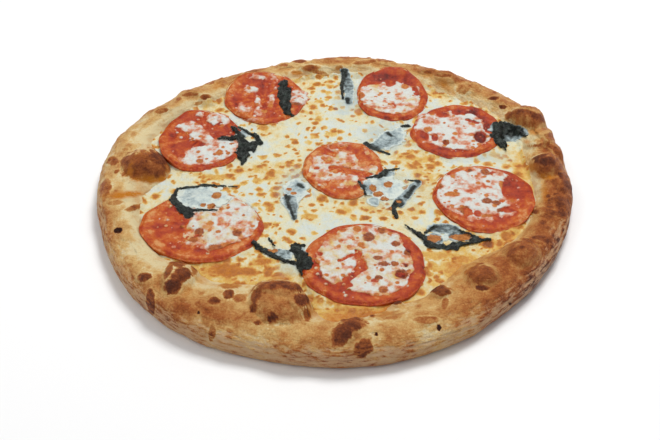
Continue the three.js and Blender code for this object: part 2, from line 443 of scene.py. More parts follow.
def trim(thing: Thing, keep: Array) -> None:
    """Deletes the vertices that aren't kept, and what is left loose.

    Args:
        thing: The sheet.
        keep: Which of its vertices stay.
    """
    alone(thing)
    bpy.ops.object.mode_set(mode="EDIT")
    bpy.ops.mesh.select_mode(type="VERT")
    bpy.ops.mesh.select_all(action="DESELECT")
    bpy.ops.object.mode_set(mode="OBJECT")
    thing.data.vertices.foreach_set("select", ~keep)
    bpy.ops.object.mode_set(mode="EDIT")
    bpy.ops.mesh.delete(type="VERT")
    bpy.ops.mesh.select_all(action="SELECT")
    bpy.ops.mesh.delete_loose(use_verts=True, use_edges=True, use_faces=False)
    bpy.ops.object.mode_set(mode="OBJECT")


def close_below(thing: Thing, level: float) -> None:
    """Closes an open sheet with a skirt and a flat base.

    Args:
        thing: The sheet.
        level: Height of the base in millimetres.
    """
    alone(thing)
    bpy.ops.object.mode_set(mode="EDIT")
    bpy.ops.mesh.select_mode(type="EDGE")
    bpy.ops.mesh.select_all(action="DESELECT")
    bpy.ops.mesh.select_non_manifold()
    bpy.ops.mesh.extrude_region_move()
    bpy.ops.object.mode_set(mode="OBJECT")
    lower = np.empty(len(thing.data.vertices), dtype=bool)
    thing.data.vertices.foreach_get("select", lower)
    places = vertices(thing) / MM
    places[lower, 2] = level
    move_vertices(thing, places)
    bpy.ops.object.mode_set(mode="EDIT")
    bpy.ops.mesh.edge_face_add()
    bpy.ops.mesh.select_all(action="SELECT")
    bpy.ops.mesh.normals_make_consistent(inside=False)
    bpy.ops.mesh.select_mode(type="VERT")
    bpy.ops.object.mode_set(mode="OBJECT")


def thicken(thing: Thing, thickness: float) -> None:
    """Gives an open sheet a thickness downwards.

    Args:
        thing: The sheet.
        thickness: The thickness in millimetres.
    """
    alone(thing)
    solid = thing.modifiers.new("thickness", "SOLIDIFY")
    solid.thickness = thickness * MM
    solid.offset = -1
    bpy.ops.object.modifier_apply(modifier=solid.name)


def shade_smooth(thing: Thing) -> None:
    """Smooth shading all over."""
    alone(thing)
    bpy.ops.object.shade_smooth()


def settle(thing: Thing, finish: Material, slot: Slot, *nodes: str) -> None:
    """Finishes a piece.

    Args:
        thing: The piece.
        finish: Its material.
        slot: Its material slot; not used.
        nodes: The nodes it stands for.
    """
    shade_smooth(thing)
    thing.data.materials.clear()
    thing.data.materials.append(finish)
    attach(thing, BODY)
    if nodes:
        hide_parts(*nodes)
    LOG.info("%s: %d faces", thing.name, len(thing.data.polygons))


class Surface:
    """Finds the highest point of finished pieces above any place."""

    def __init__(self, *things: Thing) -> None:
        """Reads the pieces.

        Args:
            things: The pieces that carry others.
        """
        graph = bpy.context.evaluated_depsgraph_get()
        self._trees = [BVHTree.FromObject(thing, graph) for thing in things]

    def height(self, x: Array, y: Array, fallback: float = 0.0) -> Array:
        """Height of the surface at places given in millimetres.

        Args:
            x: X of the places.
            y: Y of the places.
            fallback: Height where there is no piece.

        Returns:
            The height at each place.
        """
        down = Vector((0, 0, -1))
        found = np.full(len(x), fallback)
        for n, (px, py) in enumerate(zip(x * MM, y * MM)):
            for tree in self._trees:
                hit = tree.ray_cast(Vector((px, py, RAY_START)), down)[0]
                if hit is not None:
                    found[n] = max(found[n], hit.z / MM)
        return found


# --------------------------------------------------------------------------- finishes


class Finish:
    """A material under construction, with short ways to add its nodes."""

    def __init__(self, name: str) -> None:
        """Starts a material that has a surface shader and object coordinates.

        Args:
            name: The material's name.
        """
        self.material = bpy.data.materials.new(name)
        self.material.use_nodes = True
        self.tree = self.material.node_tree
        self.shader = self.tree.nodes["Principled BSDF"]
        self.place = self.tree.nodes.new("ShaderNodeTexCoord").outputs["Object"]

    def feed(self, slot: Socket, value: Socket | Colour | float) -> None:
        """Gives an input what it works with.

        Args:
            slot: The input.
            value: A number, a colour or the output of another node.
        """
        if isinstance(value, Socket):
            self.tree.links.new(value, slot)
        elif isinstance(value, tuple):
            slot.default_value = (*value, 1)
        else:
            slot.default_value = value

    def node(self, kind: str, inputs: dict[str | int, Socket | Colour | float]) -> bpy.types.Node:
        """Adds a node.

        Args:
            kind: The node's type.
            inputs: A number, a colour or another node's output for each input's name or number.

        Returns:
            The node.
        """
        made = self.tree.nodes.new(kind)
        for slot, value in inputs.items():
            self.feed(made.inputs[slot], value)
        return made

    def layer(self, name: str) -> Socket:
        """Numbers stored on the vertices.

        Args:
            name: Name of the layer.

        Returns:
            The numbers.
        """
        made = self.tree.nodes.new("ShaderNodeAttribute")
        made.attribute_name = name
        return made.outputs["Fac"]

    def noise(self, size: float, detail: float = 4.0, rough: float = 0.65, flat: float = 1.0) -> Socket:
        """Noise around 0.5.

        Args:
            size: Size of its lumps in millimetres.
            detail: How many finer layers it has.
            rough: How strong the finer layers are.
            flat: How many times as wide as high the lumps are.

        Returns:
            The noise.
        """
        place = self.place
        if flat != 1.0:
            squash = self.node("ShaderNodeMapping", {"Vector": place})
            squash.inputs["Scale"].default_value = (1, 1, flat)
            place = squash.outputs["Vector"]
        inputs = {"Scale": 1 / (size * MM), "Detail": detail, "Roughness": rough, "Vector": place}
        return self.node("ShaderNodeTexNoise", inputs).outputs["Fac"]

    def math(self, kind: str, a: Socket | float, b: Socket | float, clamp: bool = False) -> Socket:
        """Works out a sum, a product or something else of two values.

        Args:
            kind: What is worked out.
            a: First value.
            b: Second value.
            clamp: Whether the result is kept in 0..1.

        Returns:
            The result.
        """
        made = self.node("ShaderNodeMath", {0: a, 1: b})
        made.operation = kind
        made.use_clamp = clamp
        return made.outputs[0]

    def add(self, a: Socket | float, b: Socket | float, clamp: bool = False) -> Socket:
        """Sum of two values, kept in 0..1 if clamp is set."""
        return self.math("ADD", a, b, clamp)

    def times(self, a: Socket | float, b: Socket | float, clamp: bool = False) -> Socket:
        """Product of two values, kept in 0..1 if clamp is set."""
        return self.math("MULTIPLY", a, b, clamp)

    def around(self, source: Socket, swing: float) -> Socket:
        """Noise around 0.5 turned into noise around 0 with the given swing."""
        return self.times(self.math("SUBTRACT", source, 0.5), 2 * swing)

    def wander(self, size: float, swing: float, detail: float = 4.0, rough: float = 0.65) -> Socket:
        """Noise around 0, with lumps of a size in millimetres and the given swing."""
        return self.around(self.noise(size, detail, rough), swing)

    def ragged(self, name: str, size: float, swing: float, clamp: bool = False) -> Socket:
        """Numbers stored on the vertices, with noise of a size and a swing added."""
        return self.add(self.layer(name), self.wander(size, swing), clamp)

    def sharpen(self, value: Socket, low: float, high: float) -> Socket:
        """Smooth step from 0 to 1.

        Args:
            value: What is stepped.
            low: Where the step starts.
            high: Where the step ends.

        Returns:
            The stepped value.
        """
        made = self.node("ShaderNodeMapRange", {"From Min": low, "From Max": high, "Value": value})
        made.interpolation_type = "SMOOTHSTEP"
        return made.outputs["Result"]

    def mixed(self, share: Socket, a: Socket | float, b: Socket | float) -> Socket:
        """Number a where the share is 0 and number b where it is 1."""
        return self.add(self.times(self.math("SUBTRACT", 1.0, share), a), self.times(share, b))

    def colours(self, value: Socket, stops: Stops) -> Socket:
        """Colour for a value, by a ramp.

        Args:
            value: The value.
            stops: Place and colour of each stop of the ramp.

        Returns:
            The colour.
        """
        made = self.node("ShaderNodeValToRGB", {"Fac": value})
        points = made.color_ramp.elements
        while len(points) < len(stops):
            points.new(0.5)
        for point, (at, colour) in zip(points, stops):
            point.position = at
            point.color = (*colour, 1)
        return made.outputs["Color"]

    def blend(self, share: Socket, a: Socket | Colour, b: Socket | Colour) -> Socket:
        """Mixes two colours.

        Args:
            share: How much of the second colour there is.
            a: First colour.
            b: Second colour.

        Returns:
            The mixed colour.
        """
        made = self.tree.nodes.new("ShaderNodeMix")
        made.data_type = "RGBA"
        for slot, value in (("Factor", share), (6, a), (7, b)):
            self.feed(made.inputs[slot], value)
        return made.outputs[2]

    def bump(self, height: Socket, depth: float) -> None:
        """Adds fine relief.

        Args:
            height: The relief, in 0..1.
            depth: Its depth in millimetres.
        """
        made = self.node("ShaderNodeBump", {"Distance": depth * MM, "Strength": 1.0, "Height": height})
        self.feed(self.shader.inputs["Normal"], made.outputs["Normal"])

    def surface(self, colour: Socket, roughness: Socket | float, gloss: float) -> None:
        """Sets the surface's looks.

        Args:
            colour: Its colour.
            roughness: How much it blurs what it mirrors.
            gloss: How much it mirrors.
        """
        looks = {"Base Color": colour, "Roughness": roughness, "Specular IOR Level": gloss}
        for slot, value in looks.items():
            self.feed(self.shader.inputs[slot], value)

    def flesh(self, weight: float, depth: float, tint: Colour) -> None:
        """Lets a little light into the surface.

        Args:
            weight: How much light goes in.
            depth: How deep it goes, in millimetres.
            tint: How far each colour of it spreads.
        """
        self.shader.inputs["Subsurface Weight"].default_value = weight
        self.shader.inputs["Subsurface Scale"].default_value = depth * MM
        self.shader.inputs["Subsurface Radius"].default_value = tint


@dataclass(frozen=True)
class CrustFinish:
    """Baked dough: a ramp of tones from pale to charred, with oil and flour on it."""

    tones: Stops = (
        (0.0, (0.76, 0.63, 0.36)),
        (0.18, (0.68, 0.43, 0.16)),
        (0.38, (0.52, 0.235, 0.066)),
        (0.56, (0.36, 0.098, 0.020)),
        (0.76, (0.155, 0.034, 0.009)),
        (1.0, (0.035, 0.010, 0.005)),
    )
    oil: Colour = (0.56, 0.19, 0.012)
    flour: Colour = (0.58, 0.355, 0.20)
    dusting: float = 0.85
    dry: float = 0.5
    wet: float = 0.25
    gloss: float = 0.18
    relief: float = 1.3

    def make(self) -> Material:
        """Makes the material.

        Returns:
            The material.
        """
        made = Finish("baked_dough")
        coarse = made.wander(6.0, 0.22, 4.0, 0.6)
        fine = made.wander(1.2, 0.27, 3.0, 0.7)
        streaks = made.noise(6.0, 4.0, 0.7, 5.0)
        mark = made.sharpen(made.ragged("mark", 1.8, 0.30), 0.40, 0.62)
        bake = made.mixed(mark, made.layer("bake"), made.layer("char"))
        wall = made.times(made.layer("flour"), made.around(streaks, 1.3))
        bake = made.add(bake, made.add(made.add(coarse, fine), wall), True)
        colour = made.colours(bake, self.tones)
        greasy = made.times(made.ragged("oil", 2.5, 0.5, True), made.layer("oil"), True)
        colour = made.blend(greasy, colour, self.oil)
        grains = made.add(made.around(streaks, -1.1), made.wander(0.9, 0.7, 5.0, 0.75))
        dust = made.sharpen(made.add(made.layer("flour"), grains), 0.25, 0.85)
        dust = made.times(dust, made.math("SUBTRACT", 1.0, mark), True)
        colour = made.blend(made.times(dust, self.dusting), colour, self.flour)
        made.surface(colour, made.mixed(greasy, self.dry, self.wet), self.gloss)
        made.bump(made.add(made.noise(1.3, 5.0, 0.75), made.times(streaks, 1.2)), self.relief)
        return made.material


@dataclass(frozen=True)
class CheeseFinish:
    """Melted cheese: white to cream, golden and brown where toasted, grey over leaves."""

    tones: Stops = (
        (0.0, (0.60, 0.65, 0.60)),
        (0.16, (0.69, 0.64, 0.41)),
        (0.34, (0.66, 0.42, 0.10)),
        (0.56, (0.51, 0.18, 0.022)),
        (0.78, (0.27, 0.072, 0.012)),
        (1.0, (0.09, 0.03, 0.008)),
    )
    veil: Colour = (0.32, 0.40, 0.40)
    rough: float = 0.27
    gloss: float = 0.3
    relief: float = 1.2

    def make(self) -> Material:
        """Makes the material.

        Returns:
            The material.
        """
        made = Finish("melted_cheese")
        coarse = made.wander(5.0, 0.16, 4.0, 0.6)
        fine = made.wander(1.3, 0.16)
        spot = made.sharpen(made.ragged("spot", 1.5, 0.20), 0.30, 0.92)
        toast = made.add(made.layer("toast"), made.times(spot, made.layer("scorch")))
        toast = made.add(toast, made.add(coarse, fine), True)
        colour = made.blend(made.layer("veil"), made.colours(toast, self.tones), self.veil)
        made.surface(colour, self.rough, self.gloss)
        made.bump(made.noise(1.7), self.relief)
        made.flesh(0.06, 1.5, (1.0, 0.85, 0.6))
        return made.material


@dataclass(frozen=True)
class MeltFinish:
    """Cheese melted thinly on tomato: pink where thin, white where thick, cream and brown in parts."""

    films: Stops = (
        (0.0, (0.44, 0.060, 0.012)),
        (0.22, (0.53, 0.145, 0.055)),
        (0.48, (0.61, 0.31, 0.21)),
        (0.74, (0.63, 0.56, 0.50)),
        (1.0, (0.64, 0.66, 0.62)),
    )
    cream: Colour = (0.62, 0.42, 0.10)
    tones: Stops = (
        (0.0, (0.60, 0.25, 0.05)),
        (0.5, (0.48, 0.13, 0.015)),
        (1.0, (0.22, 0.042, 0.007)),
    )
    rough: float = 0.25
    gloss: float = 0.35
    relief: float = 1.2

    def make(self) -> Material:
        """Makes the material.

        Returns:
            The material.
        """
        made = Finish("melted_film")
        coarse = made.wander(4.0, 0.40, 3.0, 0.6)
        fine = made.wander(1.4, 0.46)
        body = made.add(made.layer("body"), made.add(coarse, fine), True)
        spot = made.sharpen(made.ragged("spot", 1.5, 0.25), 0.38, 0.68)
        scorched = made.add(made.layer("scorch"), made.wander(1.5, 0.6, 3.0, 0.55), True)
        creamy = made.sharpen(made.ragged("cream", 4.5, 0.9), 0.3, 1.2)
        film = made.blend(creamy, made.colours(body, self.films), self.cream)
        colour = made.blend(spot, film, made.colours(scorched, self.tones))
        made.surface(colour, self.rough, self.gloss)
        made.bump(made.noise(1.7), self.relief)
        made.flesh(0.06, 1.5, (1.0, 0.6, 0.45))
        return made.material


@dataclass(frozen=True)
class TomatoFinish:
    """Baked tomato: from deep red gel to orange flesh and pale walls."""

    tones: Stops = (
        (0.0, (0.10, 0.006, 0.002)),
        (0.28, (0.29, 0.022, 0.005)),
        (0.52, (0.41, 0.044, 0.006)),
        (0.76, (0.51, 0.105, 0.010)),
        (1.0, (0.62, 0.29, 0.10)),
    )
    rough: float = 0.2
    gloss: float = 0.26
    relief: float = 1.2

    def make(self) -> Material:
        """Makes the material.

        Returns:
            The material.
        """
        made = Finish("baked_tomato")
        streaks = made.wander(3.0, 0.62, 5.0)
        tone = made.add(made.layer("tone"), streaks, True)
        made.surface(made.colours(tone, self.tones), self.rough, self.gloss)
        made.bump(made.noise(1.8), self.relief)
        made.flesh(0.10, 2.0, (1.0, 0.3, 0.12))
        return made.material


@dataclass(frozen=True)
class BasilFinish:
    """Wilted basil: near-black green with painted sheen in lighter grey-green patches, with a film of cheese
    where it lies under some.
    """

    # the upper stops, lighter grey-green, are painted sheen on the dark leaf
    leaf: Stops = (
        (0.34, (0.004, 0.005, 0.004)),
        (0.50, (0.010, 0.013, 0.010)),
        (0.62, (0.035, 0.046, 0.038)),
        (0.74, (0.14, 0.17, 0.155)),
    )
    film: Stops = (
        (0.0, (0.010, 0.012, 0.010)),
        (0.25, (0.10, 0.125, 0.125)),
        (0.5, (0.30, 0.37, 0.38)),
        (0.75, (0.50, 0.57, 0.55)),
        (1.0, (0.62, 0.67, 0.60)),
    )
    toasted: Stops = (
        (0.3, (0.52, 0.20, 0.04)),
        (0.7, (0.26, 0.07, 0.012)),
    )
    rough: float = 0.32
    gloss: float = 0.22
    relief: float = 0.8

    def make(self) -> Material:
        """Makes the material.

        Returns:
            The material.
        """
        made = Finish("wilted_basil")
        # noise picks the leaf's tone: near-black, with painted sheen where it runs high
        leaf = made.colours(made.noise(4.0, 5.0, 0.7), self.leaf)
        veil = made.ragged("veil", 2.0, 0.45, True)
        covered = made.sharpen(made.ragged("cover", 1.6, 0.5), 0.25, 0.75)
        colour = made.blend(covered, leaf, made.colours(veil, self.film))
        spot = made.sharpen(made.ragged("spot", 1.5, 0.40), 0.44, 0.60)
        colour = made.blend(spot, colour, made.colours(made.noise(1.6, 3.0, 0.55), self.toasted))
        made.surface(colour, self.rough, self.gloss)
        made.bump(made.noise(1.3), self.relief)
        return made.material


# --------------------------------------------------------------------------- crust


@dataclass(frozen=True)
class Dough:
    """Form of the dough: outline, rim, inner slope and floor, in millimetres."""

    mean_radius: float = 154.0
    outline_waves: tuple[tuple[int, float, float], ...] = (
        (1, 2.0, 113), (2, 2.6, 39), (3, 2.3, 36), (4, 0.9, -25), (5, 1.0, 10), (6, 0.8, -16),
    )
    outline_bulges: tuple[tuple[float, float, float], ...] = ((27, 4.5, 18),)
    floor: float = 4.5
    ridge: float = 17.4
    ridge_waves: tuple[tuple[int, float, float], ...] = ((1, 0.8, 270), (5, 0.5, 20), (8, 0.4, 5))
    width: float = 33.0
    width_waves: tuple[tuple[int, float, float], ...] = ((1, 3.5, 232), (3, 2.0, 50), (7, 1.5, 12))
    swells: tuple[tuple[float, float, float], ...] = (
        (150, -5, 24), (173, 16, 13), (203, -7, 20), (222, 8, 10), (238, 20, 18), (253, 26, 17),
        (270, -5, 9), (290, 7, 13), (312, 12, 26),
    )
    inset: float = 14.0
    bulge: float = 8.0
    blisters: tuple[Oval, ...] = (
        Oval(-125, 15, 33, 32, 5.5), Oval(-31, -115, 38, 38, 5, 8), Oval(-92, -94, 20, 32, 4, -15),
        Oval(136, 67, 30, 28, 4.5, 25), Oval(139, 12, 22, 24, 3.5), Oval(141, 44, 18, 16, 2),
        Oval(112, -75, 22, 24, 3), Oval(85, -95, 22, 20, 3.5), Oval(60, -104, 15, 14, 3),
        Oval(34, -112, 13, 11, 2.5), Oval(9, -139, 18, 26, 2, -18), Oval(-66, -106, 26, 20, 2, 30),
        Oval(-96, 98, 24, 14, 2, -42), Oval(-20, 132, 20, 13, 1.5), Oval(80, 119, 22, 18, 2.5, -30),
    )

    @staticmethod
    def waves(terms: Sequence[tuple[int, float, float]], angle: Array) -> Array:
        """Sums slow waves of count, size and peak at the given angles in radians."""
        return sum(size * np.cos(count * (angle - math.radians(peak))) for count, size, peak in terms)

    @staticmethod
    def bulges(terms: Sequence[tuple[float, float, float]], angle: Array) -> Array:
        """Sums local swells.

        Args:
            terms: Peak in degrees, size and half span in degrees of each swell.
            angle: Angles in radians.

        Returns:
            The sum at each angle.
        """
        total = np.zeros(np.shape(angle))
        for peak, extra, span in terms:
            away = np.degrees(np.arccos(np.cos(angle - math.radians(peak))))
            total = total + extra * ramp(away, span, 0)
        return total

    def outline(self, angle: Array) -> Array:
        """Radius of the outline at an angle."""
        waves = self.waves(self.outline_waves, angle)
        return self.mean_radius + waves + self.bulges(self.outline_bulges, angle)

    def ridge_height(self, angle: Array) -> Array:
        """Height of the rim's ridge at an angle."""
        return self.ridge + self.waves(self.ridge_waves, angle)

    def swell(self, angle: Array) -> Array:
        """How far large blisters swell the rim inwards at an angle."""
        return self.bulges(self.swells, angle)

    def rim_width(self, angle: Array) -> Array:
        """Width of the rim from the outline to the floor at an angle."""
        return self.width + self.waves(self.width_waves, angle) + self.swell(angle)

    def share(self, x: Array, y: Array) -> Array:
        """How far down the inner slope points lie: 0 on the ridge, 1 on the floor.

        Args:
            x: X of the points.
            y: Y of the points.

        Returns:
            The share for each point.
        """
        angle = np.arctan2(y, x)
        inset = self.outline(angle) - np.hypot(x, y)
        return np.clip((inset - self.inset) / (self.rim_width(angle) - self.inset), 0, 1)

    def swelling(self, x: Array, y: Array, rough: Array) -> Array:
        """Height that the blisters add, each a puffed dome with an uneven edge.

        Args:
            x: X of the points.
            y: Y of the points.
            rough: Noise that makes the edges uneven.

        Returns:
            The height at each point.
        """
        total = np.zeros(np.shape(x))
        for blister in self.blisters:
            share = np.clip(blister.share(x, y) + 0.10 * rough, 0, 1)
            total = total + blister.strength * (1 - share**2.4)
        return total

    def top(self, x: Array, y: Array, rough: Array) -> Array:
        """Height of the dough's upper surface.

        Args:
            x: X of the points.
            y: Y of the points.
            rough: Noise that makes the blisters uneven.

        Returns:
            The height at each point.
        """
        angle = np.arctan2(y, x)
        inset = self.outline(angle) - np.hypot(x, y)
        ridge = self.ridge_height(angle)
        blister = self.swelling(x, y, rough)
        beyond = np.clip(1 - inset / self.inset, 0, 1)
        outer = self.bulge + (ridge - self.bulge + blister) * np.sqrt(1 - beyond**2)
        share = self.share(x, y)
        slope = 1 - share**2
        inner = self.floor + (ridge - self.floor) * slope + blister * (1 - ramp(share, 0.8, 1))
        return np.where(inset < self.inset, outer, inner)


DOUGH = Dough()


@dataclass
class Crust:
    """The baked crust, from its floured underside to its blistered rim."""

    steps: int = 720
    foot: tuple[Point, ...] = (
        (7, 0), (5.2, 0.15), (3.8, 0.6), (2.6, 1.4), (1.7, 2.3), (1.1, 3.3), (0.7, 4.4),
    )
    wall: tuple[Point, ...] = ((0.4, 5.5), (0.2, 6.5), (0.05, 7.3))
    under_rings: int = 12
    shoulder_rings: int = 34
    slope_rings: int = 46
    floor_rings: int = 3
    marks: tuple[Area, ...] = (
        # left dome and its neighbours
        Oval(-124, 17, 34, 35, 0.7), Oval(-120, 22, 25, 22, 0.84, -20), Oval(-137, 21, 12, 14, 0.72),
        Oval(-148, 22, 9, 11, 0.6), Oval(-142, 35, 5, 4, 0.5), Oval(-144, 10, 3, 3, 0.55),
        Oval(-148, -9, 7, 26, 0.62, 6), Oval(-127, -27, 13, 6, 0.58, 25), Oval(-140, -22, 10, 5, 0.5, 10),
        # front left
        Oval(-91, -78, 17, 6, 0.72, 12), Oval(-99, -85, 4, 14, 0.66, -8), Oval(-84, -84, 4, 12, 0.6, 10),
        Oval(-91, -90, 11, 15, 0.8, -25), Oval(-95, -99, 10, 15, 0.84, -10),
        Oval(-112, -91, 9, 8, 0.76, 20), Oval(-106, -112, 5, 24, 0.78, 10),
        Oval(-62, -105, 6, 9, 0.74, -8), Oval(-70, -111, 8, 7, 0.66), Oval(-55, -108, 9, 7, 0.54),
        Oval(-62, -98, 14, 6, 0.5), Oval(-69, -135, 4, 16, 0.6),
        # arched blister in front
        Oval(-33, -113, 36, 36, 0.5), Oval(-36, -98, 22, 9, 0.76, 4), Oval(-24, -100, 14, 8, 0.74, -18),
        Oval(-46, -106, 7, 16, 0.74, -10), Oval(-47, -116, 6, 10, 0.78), Oval(-21, -110, 11, 15, 0.8, 20),
        Oval(-17, -121, 5, 11, 0.7, 10), Oval(-36, -124, 9, 9, 0.84), Oval(-36, -120, 5, 5, 0.8),
        Oval(-44, -128, 4, 4, 0.74), Oval(-32, -112, 5, 4, 0.62),
        # front and front right
        Oval(9, -127, 15, 12, 0.76, -30), Oval(3, -137, 11, 22, 0.82, -18),
        Oval(15, -147, 12, 17, 0.76, -18), Oval(20, -122, 4, 4, 0.7), Oval(30, -122, 20, 8, 0.44),
        Oval(33, -111, 9, 6, 0.78), Oval(60, -102, 13, 9, 0.74, -15), Oval(50, -126, 15, 6, 0.6),
        Oval(62, -113, 4, 10, 0.6, -10), Oval(85, -88, 20, 17, 0.66), Oval(84, -100, 9, 5, 0.8),
        Oval(112, -70, 22, 22, 0.62), Oval(119, -59, 15, 4, 0.7, -20),
        # right side
        Oval(133, -30, 17, 6, 0.66, -25), Oval(125, -31, 7, 5, 0.7), Oval(144, -24, 12, 26, 0.74, -6),
        Oval(148, -8, 8, 24, 0.74, 4), Oval(149, 4, 6, 12, 0.78, 10), Oval(137, 14, 15, 19, 0.62),
        Oval(139, 20, 16, 13, 0.86), Oval(136, 26, 14, 4, 0.8, 30), Oval(147, 49, 8, 10, 0.62, 20),
        Strand((131, 38), (143, 40), (3, 5), 0.6), Strand((143, 40), (148, 36), (5, 5), 0.7),
        Strand((148, 36), (151, 24), (5, 5), 0.72), Strand((147, 8), (152, -8), (4, 7), 0.8),
        # back right
        Oval(133, 71, 27, 20, 0.54, -12), Strand((121, 75), (132, 80), (4, 6), 0.68),
        Strand((132, 80), (143, 71), (6, 12), 0.7), Oval(122, 75, 5, 10, 0.66, -20),
        Oval(119, 85, 6, 6, 0.72), Oval(114, 96, 9, 5, 0.8, 15), Oval(92, 108, 10, 14, 0.46),
        Oval(100, 112, 14, 8, 0.48, -30), Oval(80, 126, 12, 6, 0.62), Oval(70, 131, 11, 6, 0.64, 20),
        # back
        Oval(38, 147, 14, 6, 0.55), Oval(22, 144, 18, 6, 0.56, 15), Oval(18, 128, 5, 5, 0.48),
        Oval(3, 137, 6, 8, 0.48), Oval(-7, 124, 12, 9, 0.46), Oval(-18, 136, 16, 10, 0.64),
        Oval(-12, 130, 16, 6, 0.5, -20), Oval(-27, 146, 11, 6, 0.62), Oval(-38, 140, 8, 6, 0.54),
        Oval(-28, 130, 8, 7, 0.44),
        # back left
        Oval(-105, 101, 14, 6, 0.62, 5), Oval(-93, 97, 9, 8, 0.66, -35), Oval(-112, 95, 4, 6, 0.5),
        Oval(-123, 80, 10, 6, 0.6, 25), Oval(-92, 117, 10, 8, 0.54, 30), Oval(-95, 89, 13, 8, 0.42),
    )
    pale: tuple[Oval, ...] = (
        Oval(-124, -45, 22, 62, 0.9, 12), Oval(-112, -78, 24, 16, 0.7, -35), Oval(-134, 2, 22, 14, 0.8),
        Oval(-128, 48, 22, 24, 0.6), Oval(-108, 84, 22, 16, 0.7, 45), Oval(21, -136, 7, 18, 0.5),
        Oval(70, 105, 14, 34, 0.6, 10), Oval(130, 40, 14, 22, 0.6), Oval(130, 0, 6, 40, 0.35),
        Oval(-88, 105, 14, 20, 0.3, 20), Oval(0, 127, 46, 14, 0.85), Oval(-116, -66, 20, 26, 0.8, -20),
        Oval(-60, -140, 44, 16, 0.45), Oval(62, -138, 34, 16, 0.7, 10), Oval(138, 49, 12, 8, 0.7),
    )
    oily: tuple[Oval, ...] = (
        Oval(-119, 2, 30, 9), Oval(-135, 12, 6, 16, 0.8), Oval(-134, -14, 34, 8, 1.0, 6),
        Oval(-86, 112, 9, 11, 0.8), Oval(136, 5, 15, 8), Oval(129, 14, 5, 16, 0.9),
        Oval(137, 54, 8, 10, 0.7), Oval(79, 116, 10, 15, 0.9), Oval(68, 126, 9, 9, 0.7),
        Oval(-13, -120, 9, 10, 0.8), Oval(-77, -90, 8, 20, 0.6), Oval(76, -78, 9, 16, 0.7),
        Oval(103, -50, 12, 8, 0.6), Oval(130, 43, 6, 6, 0.8), Oval(134, -12, 6, 24, 0.7),
        Oval(12, -120, 20, 7, 0.6), Oval(50, -108, 14, 12, 0.5), Oval(-27, 128, 12, 10, 0.8),
        Oval(-10, 121, 12, 8, 0.8), Oval(20, 134, 10, 8, 0.6), Oval(125, 36, 12, 6, 0.5),
        Oval(-60, -97, 16, 7, 0.6), Oval(-86, -102, 6, 12, 0.5),
    )
    pits: tuple[Oval, ...] = (
        Oval(-134, -49, 5.5, 6, 2.5), Oval(57, -132, 2.6, 6, 1.5), Oval(22, -137, 2.2, 3, 1.2),
        Oval(99, -113, 2, 3), Oval(-78, -120, 1.6, 3, 0.8),
    )
    puffs: tuple[Area, ...] = (
        Oval(-124, 18, 35, 34, 4.0), Oval(-31, -111, 38, 38, 4.0), Oval(-32, -104, 34, 13, 3.2, -6),
        Oval(-21, -112, 14, 20, 2.5, 10), Oval(-91, -91, 20, 31, 3.0, -15), Oval(135, 71, 30, 26, 4.5),
        Oval(144, 53, 13, 11, 2.6), Strand((130, 38), (142, 40), (6, 8), 2.2),
        Strand((144, 39), (150, 26), (8, 8), 3.0), Oval(138, 16, 20, 24, 4.2), Oval(147, -4, 11, 22, 2.8),
        Oval(145, -22, 12, 20, 1.5), Oval(126, -32, 12, 9), Oval(112, -69, 22, 24, 2.0),
        Oval(85, -88, 21, 18, 2.0), Oval(60, -101, 14, 13, 1.6), Oval(33, -110, 12, 11, 1.4),
        Oval(6, -134, 14, 22, 1.4, -18), Oval(15, -148, 12, 14), Oval(-68, -112, 24, 15),
        Oval(-104, 101, 20, 10, 1.4), Oval(-92, 95, 12, 12, 1.2), Oval(-122, 80, 16, 10, 1.0, 25),
        Oval(-18, 136, 20, 12, 1.6), Oval(-38, 140, 12, 9), Oval(2, 136, 12, 10),
        Oval(22, 140, 16, 10, 1.2), Oval(40, 144, 14, 9), Oval(68, 131, 14, 10, 1.4),
        Oval(82, 122, 18, 16, 1.8), Oval(98, 108, 18, 16, 1.5), Oval(116, 92, 14, 12, 1.4),
        Oval(-142, 36, 16, 14), Oval(-148, -8, 12, 26, 0.8), Oval(-110, -92, 16, 12),
    )
    compass: tuple[Point, ...] = (
        (0, 0.56), (20, 0.45), (40, 0.43), (75, 0.38), (110, 0.35), (135, 0.37), (165, 0.28), (195, 0.28),
        (225, 0.33), (255, 0.32), (280, 0.36), (310, 0.52), (330, 0.64), (350, 0.60),
    )
    coarse: Grain = field(default_factory=lambda: Grain(11))
    fine: Grain = field(default_factory=lambda: Grain(12))

    def stations(self, angle: Array) -> list[tuple[Array, Array | None]]:
        """Insets from the outline, from the foot up and over the rim to the floor.

        Args:
            angle: Angles in radians.

        Returns:
            For each station its inset, and its height where the top doesn't give it.
        """
        level = np.zeros(len(angle))
        outline = DOUGH.outline(angle)
        made: list[tuple[Array, Array | None]] = []
        for n in range(1, self.under_rings + 1):
            made.append((outline - (outline - self.foot[0][0]) * n / (self.under_rings + 1), level))
        made += [(level + inset, level + height) for inset, height in (*self.foot, *self.wall)]
        for n in range(self.shoulder_rings):
            turn = math.pi / 2 * n / self.shoulder_rings
            made.append((level + DOUGH.inset * (1 - math.cos(turn)), None))
        slope = DOUGH.rim_width(angle) - DOUGH.inset
        for n in range(self.slope_rings + 1):
            made.append((DOUGH.inset + slope * n / self.slope_rings, None))
        floor = outline - DOUGH.inset - slope
        for n in range(1, self.floor_rings + 1):
            made.append((DOUGH.inset + slope + floor * n / (self.floor_rings + 1), None))
        return made

